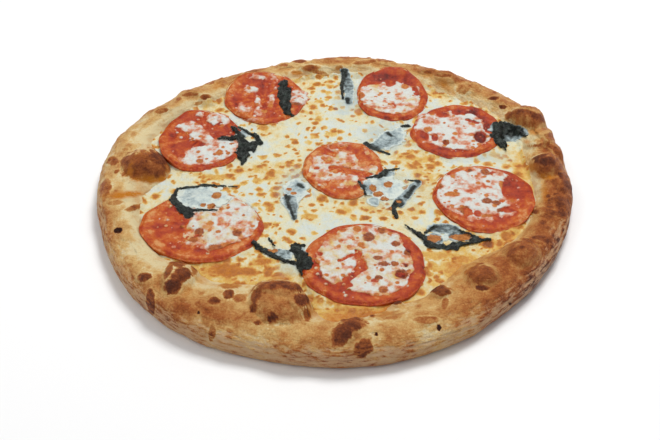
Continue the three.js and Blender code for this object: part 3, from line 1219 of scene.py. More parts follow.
    def shape(self, piece: Thing) -> tuple[Array, Array]:
        """Moves the stations to their places and adds the relief of baked dough.

        Args:
            piece: The spun profile.

        Returns:
            The vertex places in millimetres, and how far they lie on a knoll.
        """
        nominal = vertices(piece)
        station = np.rint(np.hypot(nominal[:, 0], nominal[:, 1])).astype(int)
        angle = np.arctan2(nominal[:, 1], nominal[:, 0])
        rows = self.stations(angle)
        inset = DOUGH.outline(angle)
        height = np.where((station == 0) & (nominal[:, 2] > 0), DOUGH.floor, 0.0)
        for n, (row_inset, row_height) in enumerate(rows, 1):
            here = station == n
            inset = np.where(here, row_inset, inset)
            if row_height is not None:
                height = np.where(here, row_height, height)
        radius = DOUGH.outline(angle) - inset
        radius = np.where(station == 0, 0, radius)
        x, y = radius * np.cos(angle), radius * np.sin(angle)
        first_top = self.under_rings + len(self.foot) + len(self.wall)
        topside = station > first_top
        rough = self.coarse.layered(x / 9, y / 9, 0.0, 3)
        height = np.where(topside, DOUGH.top(x, y, rough), height)
        return self.relief(x, y, height, topside)

    def relief(self, x: Array, y: Array, z: Array, topside: Array) -> tuple[Array, Array]:
        """Adds lumps, wrinkles and pits to the smooth form.

        Args:
            x: X of the vertices.
            y: Y of the vertices.
            z: Z of the vertices.
            topside: Which of them lie above the bulge.

        Returns:
            The vertex places in millimetres, and how far they lie on a knoll.
        """
        share = DOUGH.share(x, y)
        rim = 1 - ramp(share, 0.75, 1)
        seen_x, seen_y = SIGHT.seen(x, y, z)
        rough = 0.30 * self.coarse.layered(x / 6, y / 6, z / 6, 4)
        lumps = 1.2 * self.coarse.layered(x / 24, y / 24, z / 24, 2)
        folds = 0.8 * (0.45 - np.abs(self.coarse.layered(x / 15, y / 15, z / 15, 2)) * 2)
        bumps = 0.32 * self.fine.layered(x / 6, y / 6, z / 6, 3)
        skin = 0.30 * self.fine.layered(x / 2.0, y / 2.0, z / 2.0, 2)
        pimples = 0.6 * ramp(self.fine.spots(x, y, 9.0, 2.4, 0.4), 0, 0.7)
        toasted = 1.1 * painted(self.marks, seen_x, seen_y, rough, 0.35)
        knolls = 0.5 * lumps + folds + 1.2 * bumps + 0.5 * pimples
        raised = (lumps + folds + bumps + skin + pimples + toasted) * rim
        for puff in self.puffs:
            near = np.clip(puff.share(seen_x, seen_y) + 0.25 * rough, 0, 1)
            raised = raised + puff.strength * np.sqrt(1 - near**2)
        for pit in self.pits:
            raised = raised - pit.strength * ramp(pit.share(seen_x, seen_y), 1.2, 0.5) * (z > 2)
        crease = 0.55 * self.streaks(x, y, z) * ramp(z, 0.3, 2.5)
        outward = (0.8 * lumps + 0.4 * folds + crease) * ramp(z, 0.1, 3.0) * ramp(share, 0.02, 0.0)
        push = 1 + np.where(np.hypot(x, y) > 100, outward / np.maximum(np.hypot(x, y), 1), 0)
        height = z + np.where(topside, raised * ramp(z, 5, 12), 0)
        return np.stack([x * push, y * push, height], 1), knolls

    def streaks(self, x: Array, y: Array, z: Array) -> Array:
        """Noise drawn out along the rim, as where the dough's skin wrinkled.

        Args:
            x: X of the vertices.
            y: Y of the vertices.
            z: Z of the vertices.

        Returns:
            The noise at each vertex.
        """
        climbed = z + DOUGH.outline(np.arctan2(y, x)) - np.hypot(x, y)
        slant = 0.12 * x
        return self.fine.layered(x / 7, y / 7, (climbed + slant) / 1.7, 2)

    def tint(self, piece: Thing, places: Array, knolls: Array) -> None:
        """Stores how baked, oily and floury each vertex is.

        Args:
            piece: The crust.
            places: Its vertex places in millimetres.
            knolls: How far they lie on a knoll.
        """
        x, y, z = places.T
        angle = np.degrees(np.arctan2(y, x)) % 360
        seen_x, seen_y = SIGHT.seen(x, y, z)
        rough = 0.24 * self.coarse.layered(x / 6, y / 6, z / 6, 4)
        share = DOUGH.share(x, y)
        turns, tones = zip(*self.compass)
        base = np.interp(angle, turns, tones, period=360)
        above = ramp(z, 1.5, 4)
        base = base * (1 - 0.85 * painted(self.pale, seen_x, seen_y, 2.0 * rough, 0.6) * above)
        base = base + 0.15 * self.coarse.layered(x / 26, y / 26, z / 26, 3)
        base = base + 0.12 * np.clip(knolls, -1.5, 1.5)
        base = base + 0.11 * self.fine.layered(x / 11, y / 11, z / 11, 3)
        base = base - 0.16 * ramp(z, 15, 11) * ramp(share, 0.1, 0.3)
        base = base + 0.07 * self.fine.layered(x / 6, y / 6, z / 6, 3)
        front = ramp(np.cos(np.radians(angle - 285)), 0.2, 0.9)
        base = base - (0.30 - 0.16 * front) * ramp(share, 0.06, 0.45)
        mottle = ramp(self.fine.spots(x + 0.4 * z, y - 0.4 * z, 8.0, 2.0, 0.35), 0.0, 0.8)
        base = base + 0.14 * mottle * (1 - 0.5 * ramp(share, 0.6, 1))
        ragged = rough + 0.16 * self.fine.layered(x / 3, y / 3, z / 3, 3)
        mark, char = field_of(self.marks, seen_x, seen_y, 1.3 * ragged)
        base = base - 0.12 * ramp(mark, 0.05, 0.45)
        char = char - 0.04 + 0.20 * self.fine.layered(x / 4, y / 4, z / 4, 3) - 0.14 * ramp(mark, 0.85, 0.5)
        pit, _ = field_of(self.pits, seen_x, seen_y, 0.0)
        char = np.where(pit > 0.3, 1.0, char)
        mark = np.maximum(mark, pit) * above
        under = ramp(z, 1.0, 0.0)
        scorched = 0.45 + 0.3 * self.coarse.layered(x / 18, y / 18, 5.0, 4)
        bake = base * (1 - under) + scorched * under
        oil = painted(self.oily, seen_x, seen_y, 1.3 * rough, 0.6) * above
        greasy = 0.75 * ramp(share, 0.2, 0.6) * ramp(self.coarse.layered(x / 7, y / 7, 9.0, 3), -0.15, 0.35)
        oil = np.maximum(oil, 0.8 * greasy) * (1 - ramp(np.where(mark > 0.45, char, bake), 0.62, 0.80))
        left = ramp(np.cos(np.radians(angle - 215)), -0.2, 0.9)
        wall = ramp(z, 19, 11) * ramp(share, 0.3, 0.0) * above
        streak = self.streaks(x, y, z) * wall
        flour = np.clip(wall * (0.50 + 0.10 * left + 0.10 * front) - 0.6 * streak + 0.45 * under, 0, 1)
        bake = bake + 0.24 * streak
        paint(piece, bake=np.clip(bake, 0, 1), char=np.clip(char, 0, 1), mark=mark, oil=oil, flour=flour)

    def build(self) -> Thing:
        """Builds the crust.

        Returns:
            The finished piece.
        """
        count = len(self.stations(np.zeros(1)))
        profile = [(0, -1.0)] + [(n, -1.0 + 2 * n / (count + 1)) for n in range(1, count + 1)]
        piece = turned("crust_baked", [*profile, (0, count + 1.0)], self.steps)
        places, knolls = self.shape(piece)
        move_vertices(piece, places)
        self.tint(piece, places, knolls)
        settle(piece, CrustFinish().make(), Slot.CRUST, "crust")
        return piece


# --------------------------------------------------------------------------- cheese


@dataclass
class Cheese:
    """The sheet of melted cheese that fills the floor and climbs the rim."""

    step: float = 0.76
    level: float = 9.9
    base: float = 6.0
    climb: float = 0.32
    golden: tuple[Point, ...] = (
        (0, 0.16), (40, 0.10), (90, 0.06), (130, 0.10), (170, 0.04), (205, 0.05), (225, 0.24), (250, 0.30),
        (280, 0.26), (310, 0.22), (335, 0.22),
    )
    toasted: tuple[Oval, ...] = (
        Oval(-65, -85, 24, 13, 0.62), Oval(-52, -86, 12, 9, 0.62), Oval(-44, -78, 15, 8, 0.56),
        Oval(70, -84, 22, 18, 0.36), Oval(76, -76, 12, 8, 0.52), Oval(-28, 87, 9, 9, 0.62),
        Oval(-5, 97, 7, 4, 0.54), Oval(-14, 65, 5, 6, 0.66), Oval(-27, 42, 6, 4, 0.62),
        Oval(-50, 59, 9, 6, 0.5), Oval(19, -37, 7, 5, 0.7), Oval(40, 20, 8, 6, 0.58),
        Oval(30, -38, 6, 4, 0.68), Oval(92, -62, 8, 9, 0.84), Oval(104, -55, 8, 7, 0.6),
        Oval(47, 29, 8, 3, 0.62), Oval(-17, -36, 12, 7, 0.42), Oval(0, 83, 4, 4, 0.75),
        Oval(60, -72, 26, 8, 0.4), Oval(-3, 52, 12, 7, 0.3), Oval(10, -122, 16, 6, 0.5),
        Oval(-78, 4, 20, 6, 0.4), Oval(16, 79, 6, 6, 0.6), Oval(-44, -46, 6, 8, 0.6),
        Oval(-28, -60, 6, 4, 0.6), Oval(-15, -25, 5, 4, 0.6), Oval(37, -37, 5, 4, 0.6),
        Oval(49, -37, 5, 4, 0.55), Oval(63, -39, 5, 4, 0.6), Oval(34, -56, 6, 5, 0.72),
        Oval(-30, -8, 4, 3, 0.66), Oval(-27, -12, 4, 3, 0.66),
    )
    buttery: tuple[Oval, ...] = (
        Oval(56, 8, 24, 34, 0.27), Oval(56, 24, 26, 14, 0.2), Oval(-44, 10, 26, 18, 0.18),
        Oval(122, 22, 12, 26, 0.2), Oval(-34, 54, 30, 24, 0.08), Oval(30, -30, 60, 18, 0.13),
        Oval(-62, -80, 50, 26, 0.14), Oval(72, -62, 40, 34, 0.13), Oval(-86, 6, 40, 14, 0.12),
        Oval(-22, 96, 16, 40, 0.14), Oval(78, 104, 26, 18, 0.14, -30), Oval(20, 72, 30, 18, 0.12),
        Oval(66, -14, 16, 30, 0.12), Oval(22, -122, 60, 16, 0.26),
    )
    veils: tuple[Oval, ...] = (
        Oval(-27, -6, 18, 34, 0.5, -5), Oval(34, 48, 26, 30, 0.45, 30), Oval(35, -8, 40, 34, 0.35),
        Oval(9, 96, 16, 40, 0.4), Oval(105, 26, 22, 12, 0.3), Oval(-28, -84, 14, 12, 0.35),
    )
    grain: Grain = field(default_factory=lambda: Grain(21))
    bubbles: Grain = field(default_factory=lambda: Grain(22))

    def beyond(self, x: Array, y: Array) -> Array:
        """Distance of points beyond the cheese's ragged edge, below 0 within it.

        Args:
            x: X of the points.
            y: Y of the points.

        Returns:
            The distance for each point, in millimetres.
        """
        angle = np.arctan2(y, x)
        climb = self.climb + 0.12 * np.cos(angle - math.radians(95))
        climbed = 1 - climb * (1 - 0.85 * np.clip(DOUGH.swell(angle) / 10, 0, 1))
        inset = DOUGH.inset + climbed * (DOUGH.rim_width(angle) - DOUGH.inset)
        ragged = 2.2 * self.grain.layered(x / 9, y / 9, 7.0, 4)
        return np.hypot(x, y) - DOUGH.outline(angle) + inset + ragged

    def blobs(self, x: Array, y: Array) -> Array:
        """Brown spots in small sizes, as where bubbles scorched.

        Args:
            x: X of the points.
            y: Y of the points.

        Returns:
            How deep each point lies in a spot.
        """
        warp_x = x + 1.2 * self.grain.layered(x / 3, y / 3, 2.0, 2)
        warp_y = y + 1.2 * self.grain.layered(x / 3, y / 3, 4.0, 2)
        crowd = ramp(self.grain.layered(x / 25, y / 25, 5.0, 2), -0.5, 0.5)
        large = self.bubbles.spots(warp_x, warp_y, 7.4, 2.9, 0.30 + 0.45 * crowd)
        small = self.bubbles.spots(warp_x + 40, warp_y, 4.6, 1.7, 0.15 + 0.3 * crowd)
        return np.maximum(large, small)

    def cuddle(self, x: Array, y: Array) -> Array:
        """How close points lie to the outer edge of a slice.

        Args:
            x: X of the points.
            y: Y of the points.

        Returns:
            The closeness of each point, 1 at an edge.
        """
        most = np.zeros(len(x))
        for look in SLICES:
            oval = TomatoSlice(look).footprint()
            away = (oval.share(x, y) - 1) * oval.width / 2
            most = np.maximum(most, np.exp(-((away / 2.6) ** 2)))
        return most

    def build(self, crust: Thing) -> Thing:
        """Builds the sheet on the crust.

        Args:
            crust: The piece that carries it.

        Returns:
            The finished piece.
        """
        low, high = (Vector(corner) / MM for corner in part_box("cheese"))
        piece, _ = sheet("cheese_melted", low.xy, high.xy, self.step)
        x, y, _ = (vertices(piece) / MM).T
        over = self.beyond(x, y)
        ground = np.full(len(x), DOUGH.floor)
        sloping = (over > -22) & (over < 26)
        ground[sloping] = Surface(crust).height(x[sloping], y[sloping])
        pool = self.level + 0.6 * self.grain.layered(x / 16, y / 16, 0.0, 2)
        inset = DOUGH.outline(np.arctan2(y, x)) - np.hypot(x, y)
        near = (over < 1.6) | ((inset > DOUGH.inset) & (ground < pool + 1.5))
        shreds = 0.55 * self.grain.layered(x / 5, y / 5, 1.0, 3)
        shreds = shreds + 0.3 * self.bubbles.layered(x / 2.2, y / 2.2, 2.0, 2)
        blobs = self.blobs(x, y)
        well = ramp(over, 0.0, -4.0)
        film = ground + 0.2 + well * (0.7 + 0.6 * shreds)
        film = np.where(over > -1.5, ground + 0.6 - 0.7 * (over + 1.5), film)
        height = np.maximum(pool, film) + well * (0.3 * blobs + 1.3 * self.cuddle(x, y))
        height = height + 0.9 * shreds * (film < pool + 2)
        move_vertices(piece, np.stack([x, y, height], 1))
        self.tint(piece, x, y, blobs)
        trim(piece, near)
        close_below(piece, self.base)
        settle(piece, CheeseFinish().make(), Slot.CHEESE, "cheese")
        return piece

    def tint(self, piece: Thing, x: Array, y: Array, blobs: Array) -> None:
        """Stores how toasted each vertex is and where leaves show through.

        Args:
            piece: The sheet.
            x: X of its vertices.
            y: Y of its vertices.
            blobs: How deep they lie in a scorched spot.
        """
        seen_x, seen_y = SIGHT.seen(x, y, self.level)
        rough = 0.45 * self.grain.layered(x / 4, y / 4, 3.0, 3)
        butter = ramp(self.grain.layered(x / 18, y / 18, 9.0, 3), -0.25, 0.5)
        angle = np.arctan2(y, x)
        inset = DOUGH.outline(angle) - DOUGH.rim_width(angle) - np.hypot(x, y)
        rim = ramp(inset + 9 * self.grain.layered(x / 10, y / 10, 12.0, 3), 22, -6)
        turns, golds = zip(*self.golden)
        rim = rim * np.interp(np.degrees(angle) % 360, turns, golds, period=360)
        mottled = 1 + 1.1 * self.grain.layered(x / 7, y / 7, 14.0, 3)
        soft = painted(self.buttery, seen_x, seen_y, rough, 0.9) * np.clip(mottled, 0.2, 2)
        toast = 0.02 + 0.13 * butter + rim + soft + 0.10 * self.grain.layered(x / 4, y / 4, 6.0, 3)
        toast = toast + 0.07 * ramp(blobs, 0.0, 0.5)
        spot, scorch = field_of(self.toasted, seen_x, seen_y, 0.6 * rough)
        scattered = 0.3 + 0.6 * blobs
        level = 0.38 + 0.08 * butter + 0.36 * self.grain.layered(x / 6, y / 6, 8.0, 2)
        level = np.clip(np.minimum(level, 0.66 - toast), 0.05, 1)
        scorch = np.where(spot > scattered, np.maximum(scorch - toast, 0.5 * level), level)
        veil = painted(self.veils, seen_x, seen_y, rough, 0.6)
        scorch = np.clip(scorch, 0, 1)
        paint(piece, toast=np.clip(toast, 0, 1), spot=np.maximum(spot, scattered), scorch=scorch, veil=veil)


# --------------------------------------------------------------------------- tomato slices


@dataclass(frozen=True)
class SliceLook:
    """One tomato slice: its flat side, tone and chambers, and the cheese on it.

    The cheese has its own ovals, bare parts, bare rings, toasted spots and share of cream.
    """

    number: int
    flat_at: float
    flat: float
    tone: float
    melt: tuple[Oval, ...]
    bare: tuple[Area, ...] = ()
    rings: tuple[tuple[float, float, float], ...] = ()
    spots: tuple[Oval, ...] = ()
    chambers: tuple[Oval, ...] = ()
    cream: float = 0.2


SLICES = (
    SliceLook(
        1, flat_at=231, flat=3, tone=0.62,
        melt=(
            Oval(-57, 125, 20, 9, 0.5, -10), Oval(-61, 108, 12, 10, 0.8), Oval(-55, 92, 5, 20, 0.6, 6),
            Oval(-64, 84, 12, 18, 0.55, 15), Oval(-46, 124, 7, 16, 0.4, 20), Oval(-26, 98, 16, 22, 1.2),
            Oval(-52, 79, 12, 12, 0.5), Oval(-46, 92, 6, 20, 0.35), Oval(-58, 70, 18, 5, 0.3),
        ),
        spots=(Oval(-28, 87, 9, 9, 0.9), Oval(-50, 81, 5, 6, 0.3), Oval(-46, 88, 4, 6, 0.4)),
        chambers=(Oval(-58, 100, 12, 12, 0.4, 8), Oval(-50, 108, 10, 20, 0.35), Oval(-69, 90, 6, 20, 0.3)),
    ),
    SliceLook(
        2, flat_at=125, flat=-3.0, tone=0.5, cream=0.4,
        melt=(Oval(40, 100, 66, 78, 0.9),),
        bare=(
            Oval(40, 118, 9, 16), Oval(58, 106, 5, 14, 0.9, 10), Oval(27, 86, 5, 5, 0.5),
            Oval(41, 88, 5, 10, 0.5), Oval(58, 120, 5, 14, 0.9, -20),
        ),
        rings=((90, 75, 0.42), (0, 60, 0.14), (270, 70, 0.16), (180, 40, 0.04)),
        spots=(
            Oval(19, 100, 5, 8, 0.6), Oval(63, 101, 6, 8, 0.75), Oval(35, 71, 6, 6), Oval(46, 71, 5, 6),
            Oval(51, 112, 6, 7, 0.4),
        ),
        chambers=(Oval(40, 118, 10, 16, 0.25), Oval(36, 71, 6, 5, 0.9), Oval(46, 71, 5, 5, 0.9)),
    ),
    SliceLook(
        3, flat_at=51, flat=2.5, tone=0.5, cream=0.1,
        melt=(
            Oval(-95, 75, 8, 12, 0.6, 20), Oval(-82, 71, 17, 22, 1.1, 40), Oval(-99, 61, 20, 14, 0.9, -30),
            Oval(-92, 50, 26, 20, 1.0, -20), Oval(-84, 30, 46, 26, 1.2, 8), Oval(-108, 62, 8, 5, 0.6),
            Oval(-105, 38, 6, 6, 0.5), Oval(-74, 42, 22, 22), Oval(-102, 52, 12, 8, 0.4),
        ),
        bare=(
            Strand((-112, 38), (-93, 42), (9, 7)), Strand((-97, 72), (-86, 60), (5, 6)),
            Oval(-81, 53, 10, 12, 1.0, 40), Strand((-111, 58), (-100, 48), (6, 5)),
            Strand((-84, 60), (-80, 66), (4, 4)),
        ),
        rings=((180, 120, 0.05), (270, 70, 0.07)),
        spots=(
            Oval(-78, 31, 5, 7, 0.5), Oval(-90, 22, 5, 5, 0.6), Oval(-72, 31, 3, 4, 0.6),
            Oval(-66, 24, 5, 6),
        ),
        chambers=(Oval(-104, 40, 16, 6, 0.4, 8), Oval(-111, 52, 6, 10, 0.7), Oval(-81, 53, 8, 10, 0.2, 40)),
    ),
    SliceLook(
        4, flat_at=215, flat=2, tone=0.72, cream=0.5,
        melt=(Oval(5, 16, 60, 66, 0.55, 12),),
        bare=(
            Strand((-2, 15), (22, 7), (6, 6)), Strand((14, 42), (18, 22), (7, 6)),
            Strand((-8, 34), (-2, 30), (6, 5)), Strand((0, -14), (22, -10), (9, 9)),
            Oval(22, 24, 9, 12, 0.8), Strand((-2, 38), (12, 38), (4, 4)),
        ),
        rings=((180, 70, 0.12), (270, 50, 0.22), (0, 60, 0.14), (90, 60, 0.05)),
        spots=(Oval(0, 10, 4, 4, 0.5), Oval(-10, 30, 4, 4, 0.5), Oval(15, -3, 3, 5, 0.8)),
        chambers=(Oval(-8, 8, 10, 16, -0.3), Oval(4, 22, 14, 10, -0.3)),
    ),
    SliceLook(
        5, flat_at=137, flat=5, tone=0.45, cream=0.0,
        melt=(Oval(82, 58, 66, 66, 0.95),),
        bare=(
            Oval(99, 50, 9, 14, 1.2, -10), Oval(60, 51, 9, 14, 0.7, 10), Oval(68, 49, 5, 9, 0.9),
            Oval(75, 43, 5, 5, 0.9), Strand((92, 70), (99, 66), (3, 3)), Oval(106, 60, 8, 14, 0.9),
            Oval(88, 79, 12, 7, 0.9), Oval(76, 76, 10, 8, 0.7),
        ),
        rings=((60, 80, 0.3), (310, 60, 0.16), (250, 50, 0.2), (180, 50, 0.08), (110, 40, 0.26)),
        spots=(
            Oval(75, 43, 5, 5, 0.9), Oval(90, 76, 3, 3, 0.3), Oval(64, 58, 6, 7, 0.4),
            Oval(82, 53, 4, 4, 0.3),
        ),
        chambers=(
            Oval(99, 50, 9, 14, 1.4, -10), Oval(67, 48, 6, 8, 0.7), Oval(75, 43, 4, 4, 0.7),
            Oval(60, 52, 6, 8, 0.5),
        ),
    ),
    SliceLook(
        6, flat_at=215, flat=2, tone=0.54, cream=0.0,
        melt=(Oval(90, -10, 64, 64, 0.95),),
        bare=(
            Oval(112, -8, 12, 22), Oval(76, -13, 9, 5, 0.5), Oval(108, -28, 10, 6, 0.8, 20),
            Oval(83, -30, 6, 8, 0.6), Oval(89, -32, 5, 7, 0.6),
        ),
        rings=((0, 70, 0.24), (310, 50, 0.22), (250, 60, 0.16), (90, 60, 0.1), (180, 50, 0.07)),
        spots=(
            Oval(96, -20, 7, 6, 0.9), Oval(102, -22, 6, 6, 0.85), Oval(81, -29, 7, 9, 0.75),
            Oval(89, -32, 4, 6, 0.8), Oval(98, 10, 7, 7, 0.8), Oval(87, 12, 6, 4),
            Oval(75, -13, 9, 5, 0.45), Oval(67, -5, 5, 7, 0.8), Oval(96, -34, 7, 3, 0.6),
            Oval(104, -29, 7, 4, 0.8, 20), Oval(108, -4, 5, 8, 0.3),
        ),
        chambers=(Oval(110, -6, 10, 18, 0.2),),
    ),
    SliceLook(
        7, flat_at=50, flat=3, tone=0.6, cream=0.5,
        melt=(Oval(-72, -34, 70, 72),),
        bare=(Oval(-100, -38, 18, 40, 1.2), Oval(-88, -50, 10, 12, 0.4), Oval(-50, -62, 10, 12)),
        rings=((190, 62, 0.3), (250, 50, 0.22), (310, 40, 0.2), (20, 60, 0.05), (90, 40, 0.04)),
        spots=(
            Oval(-84, -50, 6, 9, 0.85), Oval(-87, -57, 6, 6, 0.75), Oval(-72, -65, 12, 9, 0.75),
            Oval(-61, -51, 7, 6, 0.9), Oval(-76, -15, 7, 7, 0.7), Oval(-79, -25, 6, 6, 0.85),
            Oval(-66, -63, 8, 6, 0.5), Oval(-96, -46, 5, 10, 0.7, 10), Oval(-46, -47, 5, 7, 0.8),
            Oval(-78, -42, 5, 5, 0.3), Oval(-47, -58, 5, 4, 0.6), Oval(-69, -9, 8, 4, 0.6),
            Oval(-94, -62, 6, 6, 0.6),
        ),
        chambers=(Oval(-99, -26, 9, 10, 0.35), Oval(-96, -46, 6, 12, 0.35), Oval(-48, -64, 8, 8, 0.3)),
    ),
    SliceLook(
        8, flat_at=250, flat=1.5, tone=0.5, cream=0.5,
        melt=(Oval(18, -76, 80, 82),),
        bare=(
            Strand((13, -68), (15, -82), (5, 8)), Strand((15, -82), (6, -92), (7, 6)),
            Strand((2, -76), (9, -71), (3, 4)), Oval(23, -93, 5, 4, 0.8), Oval(-12, -60, 7, 14, 0.8, -10),
            Oval(4, -97, 12, 7, 0.9), Oval(44, -66, 5, 5, 0.7), Oval(40, -80, 6, 5, 0.7),
            Oval(38, -88, 8, 6, 0.6),
        ),
        rings=((225, 85, 0.26), (0, 60, 0.17), (300, 50, 0.14), (90, 50, 0.05), (145, 40, 0.14)),
        spots=(
            Oval(20, -55, 8, 8, 0.95), Oval(28, -48, 5, 8, 0.8), Oval(-4, -44, 6, 5, 0.7),
            Oval(36, -61, 6, 5, 0.85), Oval(25, -74, 6, 4, 0.8), Oval(28, -79, 7, 5, 0.9),
            Oval(35, -79, 5, 4, 0.8), Oval(39, -88, 8, 8, 0.9), Oval(43, -69, 5, 6, 0.9),
            Oval(4, -48, 5, 5, 0.5), Oval(25, -91, 5, 4, 0.8), Oval(-12, -60, 5, 7, 0.5),
            Oval(15, -62, 5, 5, 0.5), Oval(27, -101, 6, 6, 0.7), Oval(13, -47, 5, 6, 0.4),
        ),
        chambers=(
            Oval(43, -69, 4, 5, 1.2), Oval(41, -82, 5, 5, 0.9), Oval(38, -89, 7, 6, 0.9),
            Oval(12, -88, 10, 8, 0.1),
        ),
    ),
)


@dataclass
class TomatoSlice:
    """A slice of tomato that lies in the cheese and bends with what carries it."""

    look: SliceLook
    step: float = 0.85
    thickness: float = 3.8
    sink: float = 1.7
    order: int = 4
    steps: int = 160
    skin_rings: tuple[int, ...] = (1, 2, 3)
    upper_station: float = 3.0
    probe_span: float = 1.15
    probes: int = 23
    grain: Grain = field(default_factory=lambda: Grain(31))

    def footprint(self) -> Oval:
        """Place and size of the slice, from its node.

        Returns:
            The oval that the slice fills.
        """
        low, high = (Vector(corner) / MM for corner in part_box(f"tomato_{self.look.number}"))
        middle = (low + high) / 2
        return Oval(middle.x, middle.y, high.x - low.x, high.y - low.y)

    def reach(self, angle: Array, oval: Oval) -> Array:
        """Share of the oval's radius that the slice's uneven edge reaches.

        Args:
            angle: Angles round the slice's middle in radians.
            oval: The slice's place and size.

        Returns:
            The share at each angle.
        """
        wobble = 1 + 0.015 * np.sin(3 * angle + oval.x) + 0.012 * np.sin(5 * angle + oval.y)
        wobble = wobble + 0.010 * np.sin(11 * angle + oval.y)
        away = np.maximum(0, np.cos(angle - math.radians(self.look.flat_at)))
        return wobble - 2 * self.look.flat * away**6 / oval.width

    def rest(self, carrier: Surface, oval: Oval) -> Callable[[Array, Array], Array]:
        """Smooth sheet through the heights under the slice.

        Args:
            carrier: What the slice lies on.
            oval: The slice's place and size.

        Returns:
            A function that gives the height of what carries the slice.
        """
        span = np.linspace(-self.probe_span, self.probe_span, self.probes)
        u, v = (g.ravel() for g in np.meshgrid(span, span))
        inside = np.hypot(u, v) < self.probe_span + 0.01
        u, v = u[inside], v[inside]
        heights = carrier.height(oval.x + u * oval.width / 2, oval.y + v * oval.depth / 2)
        powers = [(i, j) for i in range(self.order + 1) for j in range(self.order + 1 - i)]
        terms = np.stack([u**i * v**j for i, j in powers], 1)
        fit = np.linalg.lstsq(terms, heights, rcond=None)[0]

        def level(x: Array, y: Array) -> Array:
            """Height of the fitted sheet.

            Args:
                x: X of the places in millimetres.
                y: Y of the places in millimetres.

            Returns:
                The height at each place.
            """
            a = 2 * (x - oval.x) / oval.width
            b = 2 * (y - oval.y) / oval.depth
            return sum(factor * a**i * b**j for factor, (i, j) in zip(fit, powers))

        return level

    def build(self, carrier: Surface, finish: Material) -> Thing:
        """Builds the slice.

        Args:
            carrier: What the slice lies on.
            finish: The tomato material.

        Returns:
            The finished piece.
        """
        oval = self.footprint()
        level = self.rest(carrier, oval)
        rings = max(10, round(oval.width / 2 / self.step))
        profile = [(0, -1.0)] + [(n, -1.0) for n in range(1, rings + 1)]
        profile += [(rings + n, n * 0.5) for n in self.skin_rings]
        profile += [(n, self.upper_station + rings - n) for n in range(rings, -1, -1)]
        piece = turned(f"tomato_slice_{self.look.number}", profile, self.steps)
        nominal = vertices(piece)
        ring = np.hypot(nominal[:, 0], nominal[:, 1])
        angle = np.arctan2(nominal[:, 1], nominal[:, 0])
        upper = nominal[:, 2] >= self.upper_station - 0.1
        wall = np.where(ring > rings + 0.5, ring - rings, 0.0)
        share = np.minimum(ring / rings, 1.0)
        spread = share * self.reach(angle, oval) * np.where(upper, 1 - 0.012 * share**8, 1.0)
        x = oval.x + spread * oval.width / 2 * np.cos(angle)
        y = oval.y + spread * oval.depth / 2 * np.sin(angle)
        part = np.where(upper, 1.0, np.where(wall > 0, wall * 0.27, 0.0))
        z = level(x, y) - self.sink + self.thickness * part + self.face(x, y, share) * upper
        move_vertices(piece, np.stack([x, y, z], 1))
        self.tint(piece, x, y, share, upper, oval)
        settle(piece, finish, Slot.TOMATO, f"tomato_{self.look.number}")
        return piece

    def face(self, x: Array, y: Array, share: Array) -> Array:
        """Relief of the cut face: a rounded skin edge, sunken chambers and fine flesh.

        Args:
            x: X of the vertices.
            y: Y of the vertices.
            share: Where they lie: 0 in the middle of the slice, 1 on its edge.

        Returns:
            The height of the relief at each vertex.
        """
        edge = -1.1 * ramp(share, 0.93, 1.0) ** 2
        lip = 0.5 * ramp(share, 0.72, 0.9) * ramp(share, 1.0, 0.93)
        rough = 0.3 * self.grain.layered(x / 5, y / 5, 1.0, 3)
        seen_x, seen_y = SIGHT.seen(x, y, SLICE_LEVEL)
        wells = 0.0
        for chamber in self.look.chambers:
            inside = ramp(chamber.share(seen_x, seen_y) + rough, 1.2, 0.6)
            wells = wells - 0.9 * abs(chamber.strength) * inside
        flesh = 0.55 * self.grain.layered(x / 4.5, y / 4.5, 2.0, 3)
        sag = 0.8 * self.grain.layered(x / 22, y / 22, 5.0, 2)
        return edge + lip + wells + flesh * (1 - ramp(share, 0.9, 1)) + sag

    def tint(self, piece: Thing, x: Array, y: Array, share: Array, upper: Array, oval: Oval) -> None:
        """Stores the tone of skin, walls, flesh and gel on the vertices, with the skin edge and the side
        faces painted lighter as painted light against their shade.

        Args:
            piece: The slice.
            x: X of its vertices.
            y: Y of its vertices.
            share: Where they lie: 0 in the middle of the slice, 1 on its edge.
            upper: Which of them lie on the upper face.
            oval: The slice's place and size.
        """
        angle = np.arctan2(y - oval.y, x - oval.x)
        rough = 0.3 * self.grain.layered(x / 5, y / 5, 3.0, 3)
        seen_x, seen_y = SIGHT.seen(x, y, SLICE_LEVEL)
        tone = self.look.tone + 0.28 * self.grain.layered(x / 9, y / 9, 4.0, 3)
        tone = tone + 0.22 * self.grain.layered(np.cos(angle) * 6 + 20, np.sin(angle) * 6 + share * 3, 6.0, 3)
        # lighter skin edge: partly the skin's own colour, partly painted light against the shadow along the
        # slice's edge
        tone = tone + 0.06 * ramp(share, 0.93, 0.99)
        tone = tone + 0.12 * ramp(share, 0.78, 0.86) * ramp(share, 0.96, 0.90)
        tone = tone - 0.12 * ramp(share, 0.82, 0.74) * ramp(share, 0.6, 0.7)
        for chamber in self.look.chambers:
            tone = tone - 0.4 * chamber.strength * ramp(chamber.share(seen_x, seen_y) + rough, 1.25, 0.6)
        # side faces: one lighter tone, painted light that offsets the shade they lie in
        tone = np.where(upper, tone, self.look.tone + 0.10)
        paint(piece, tone=np.clip(tone, 0.02, 1))


Rule = Callable[[Array, Array], Array]
Dress = Callable[[Array, Array, Array, Array], tuple[Array, dict[str, Array]]]


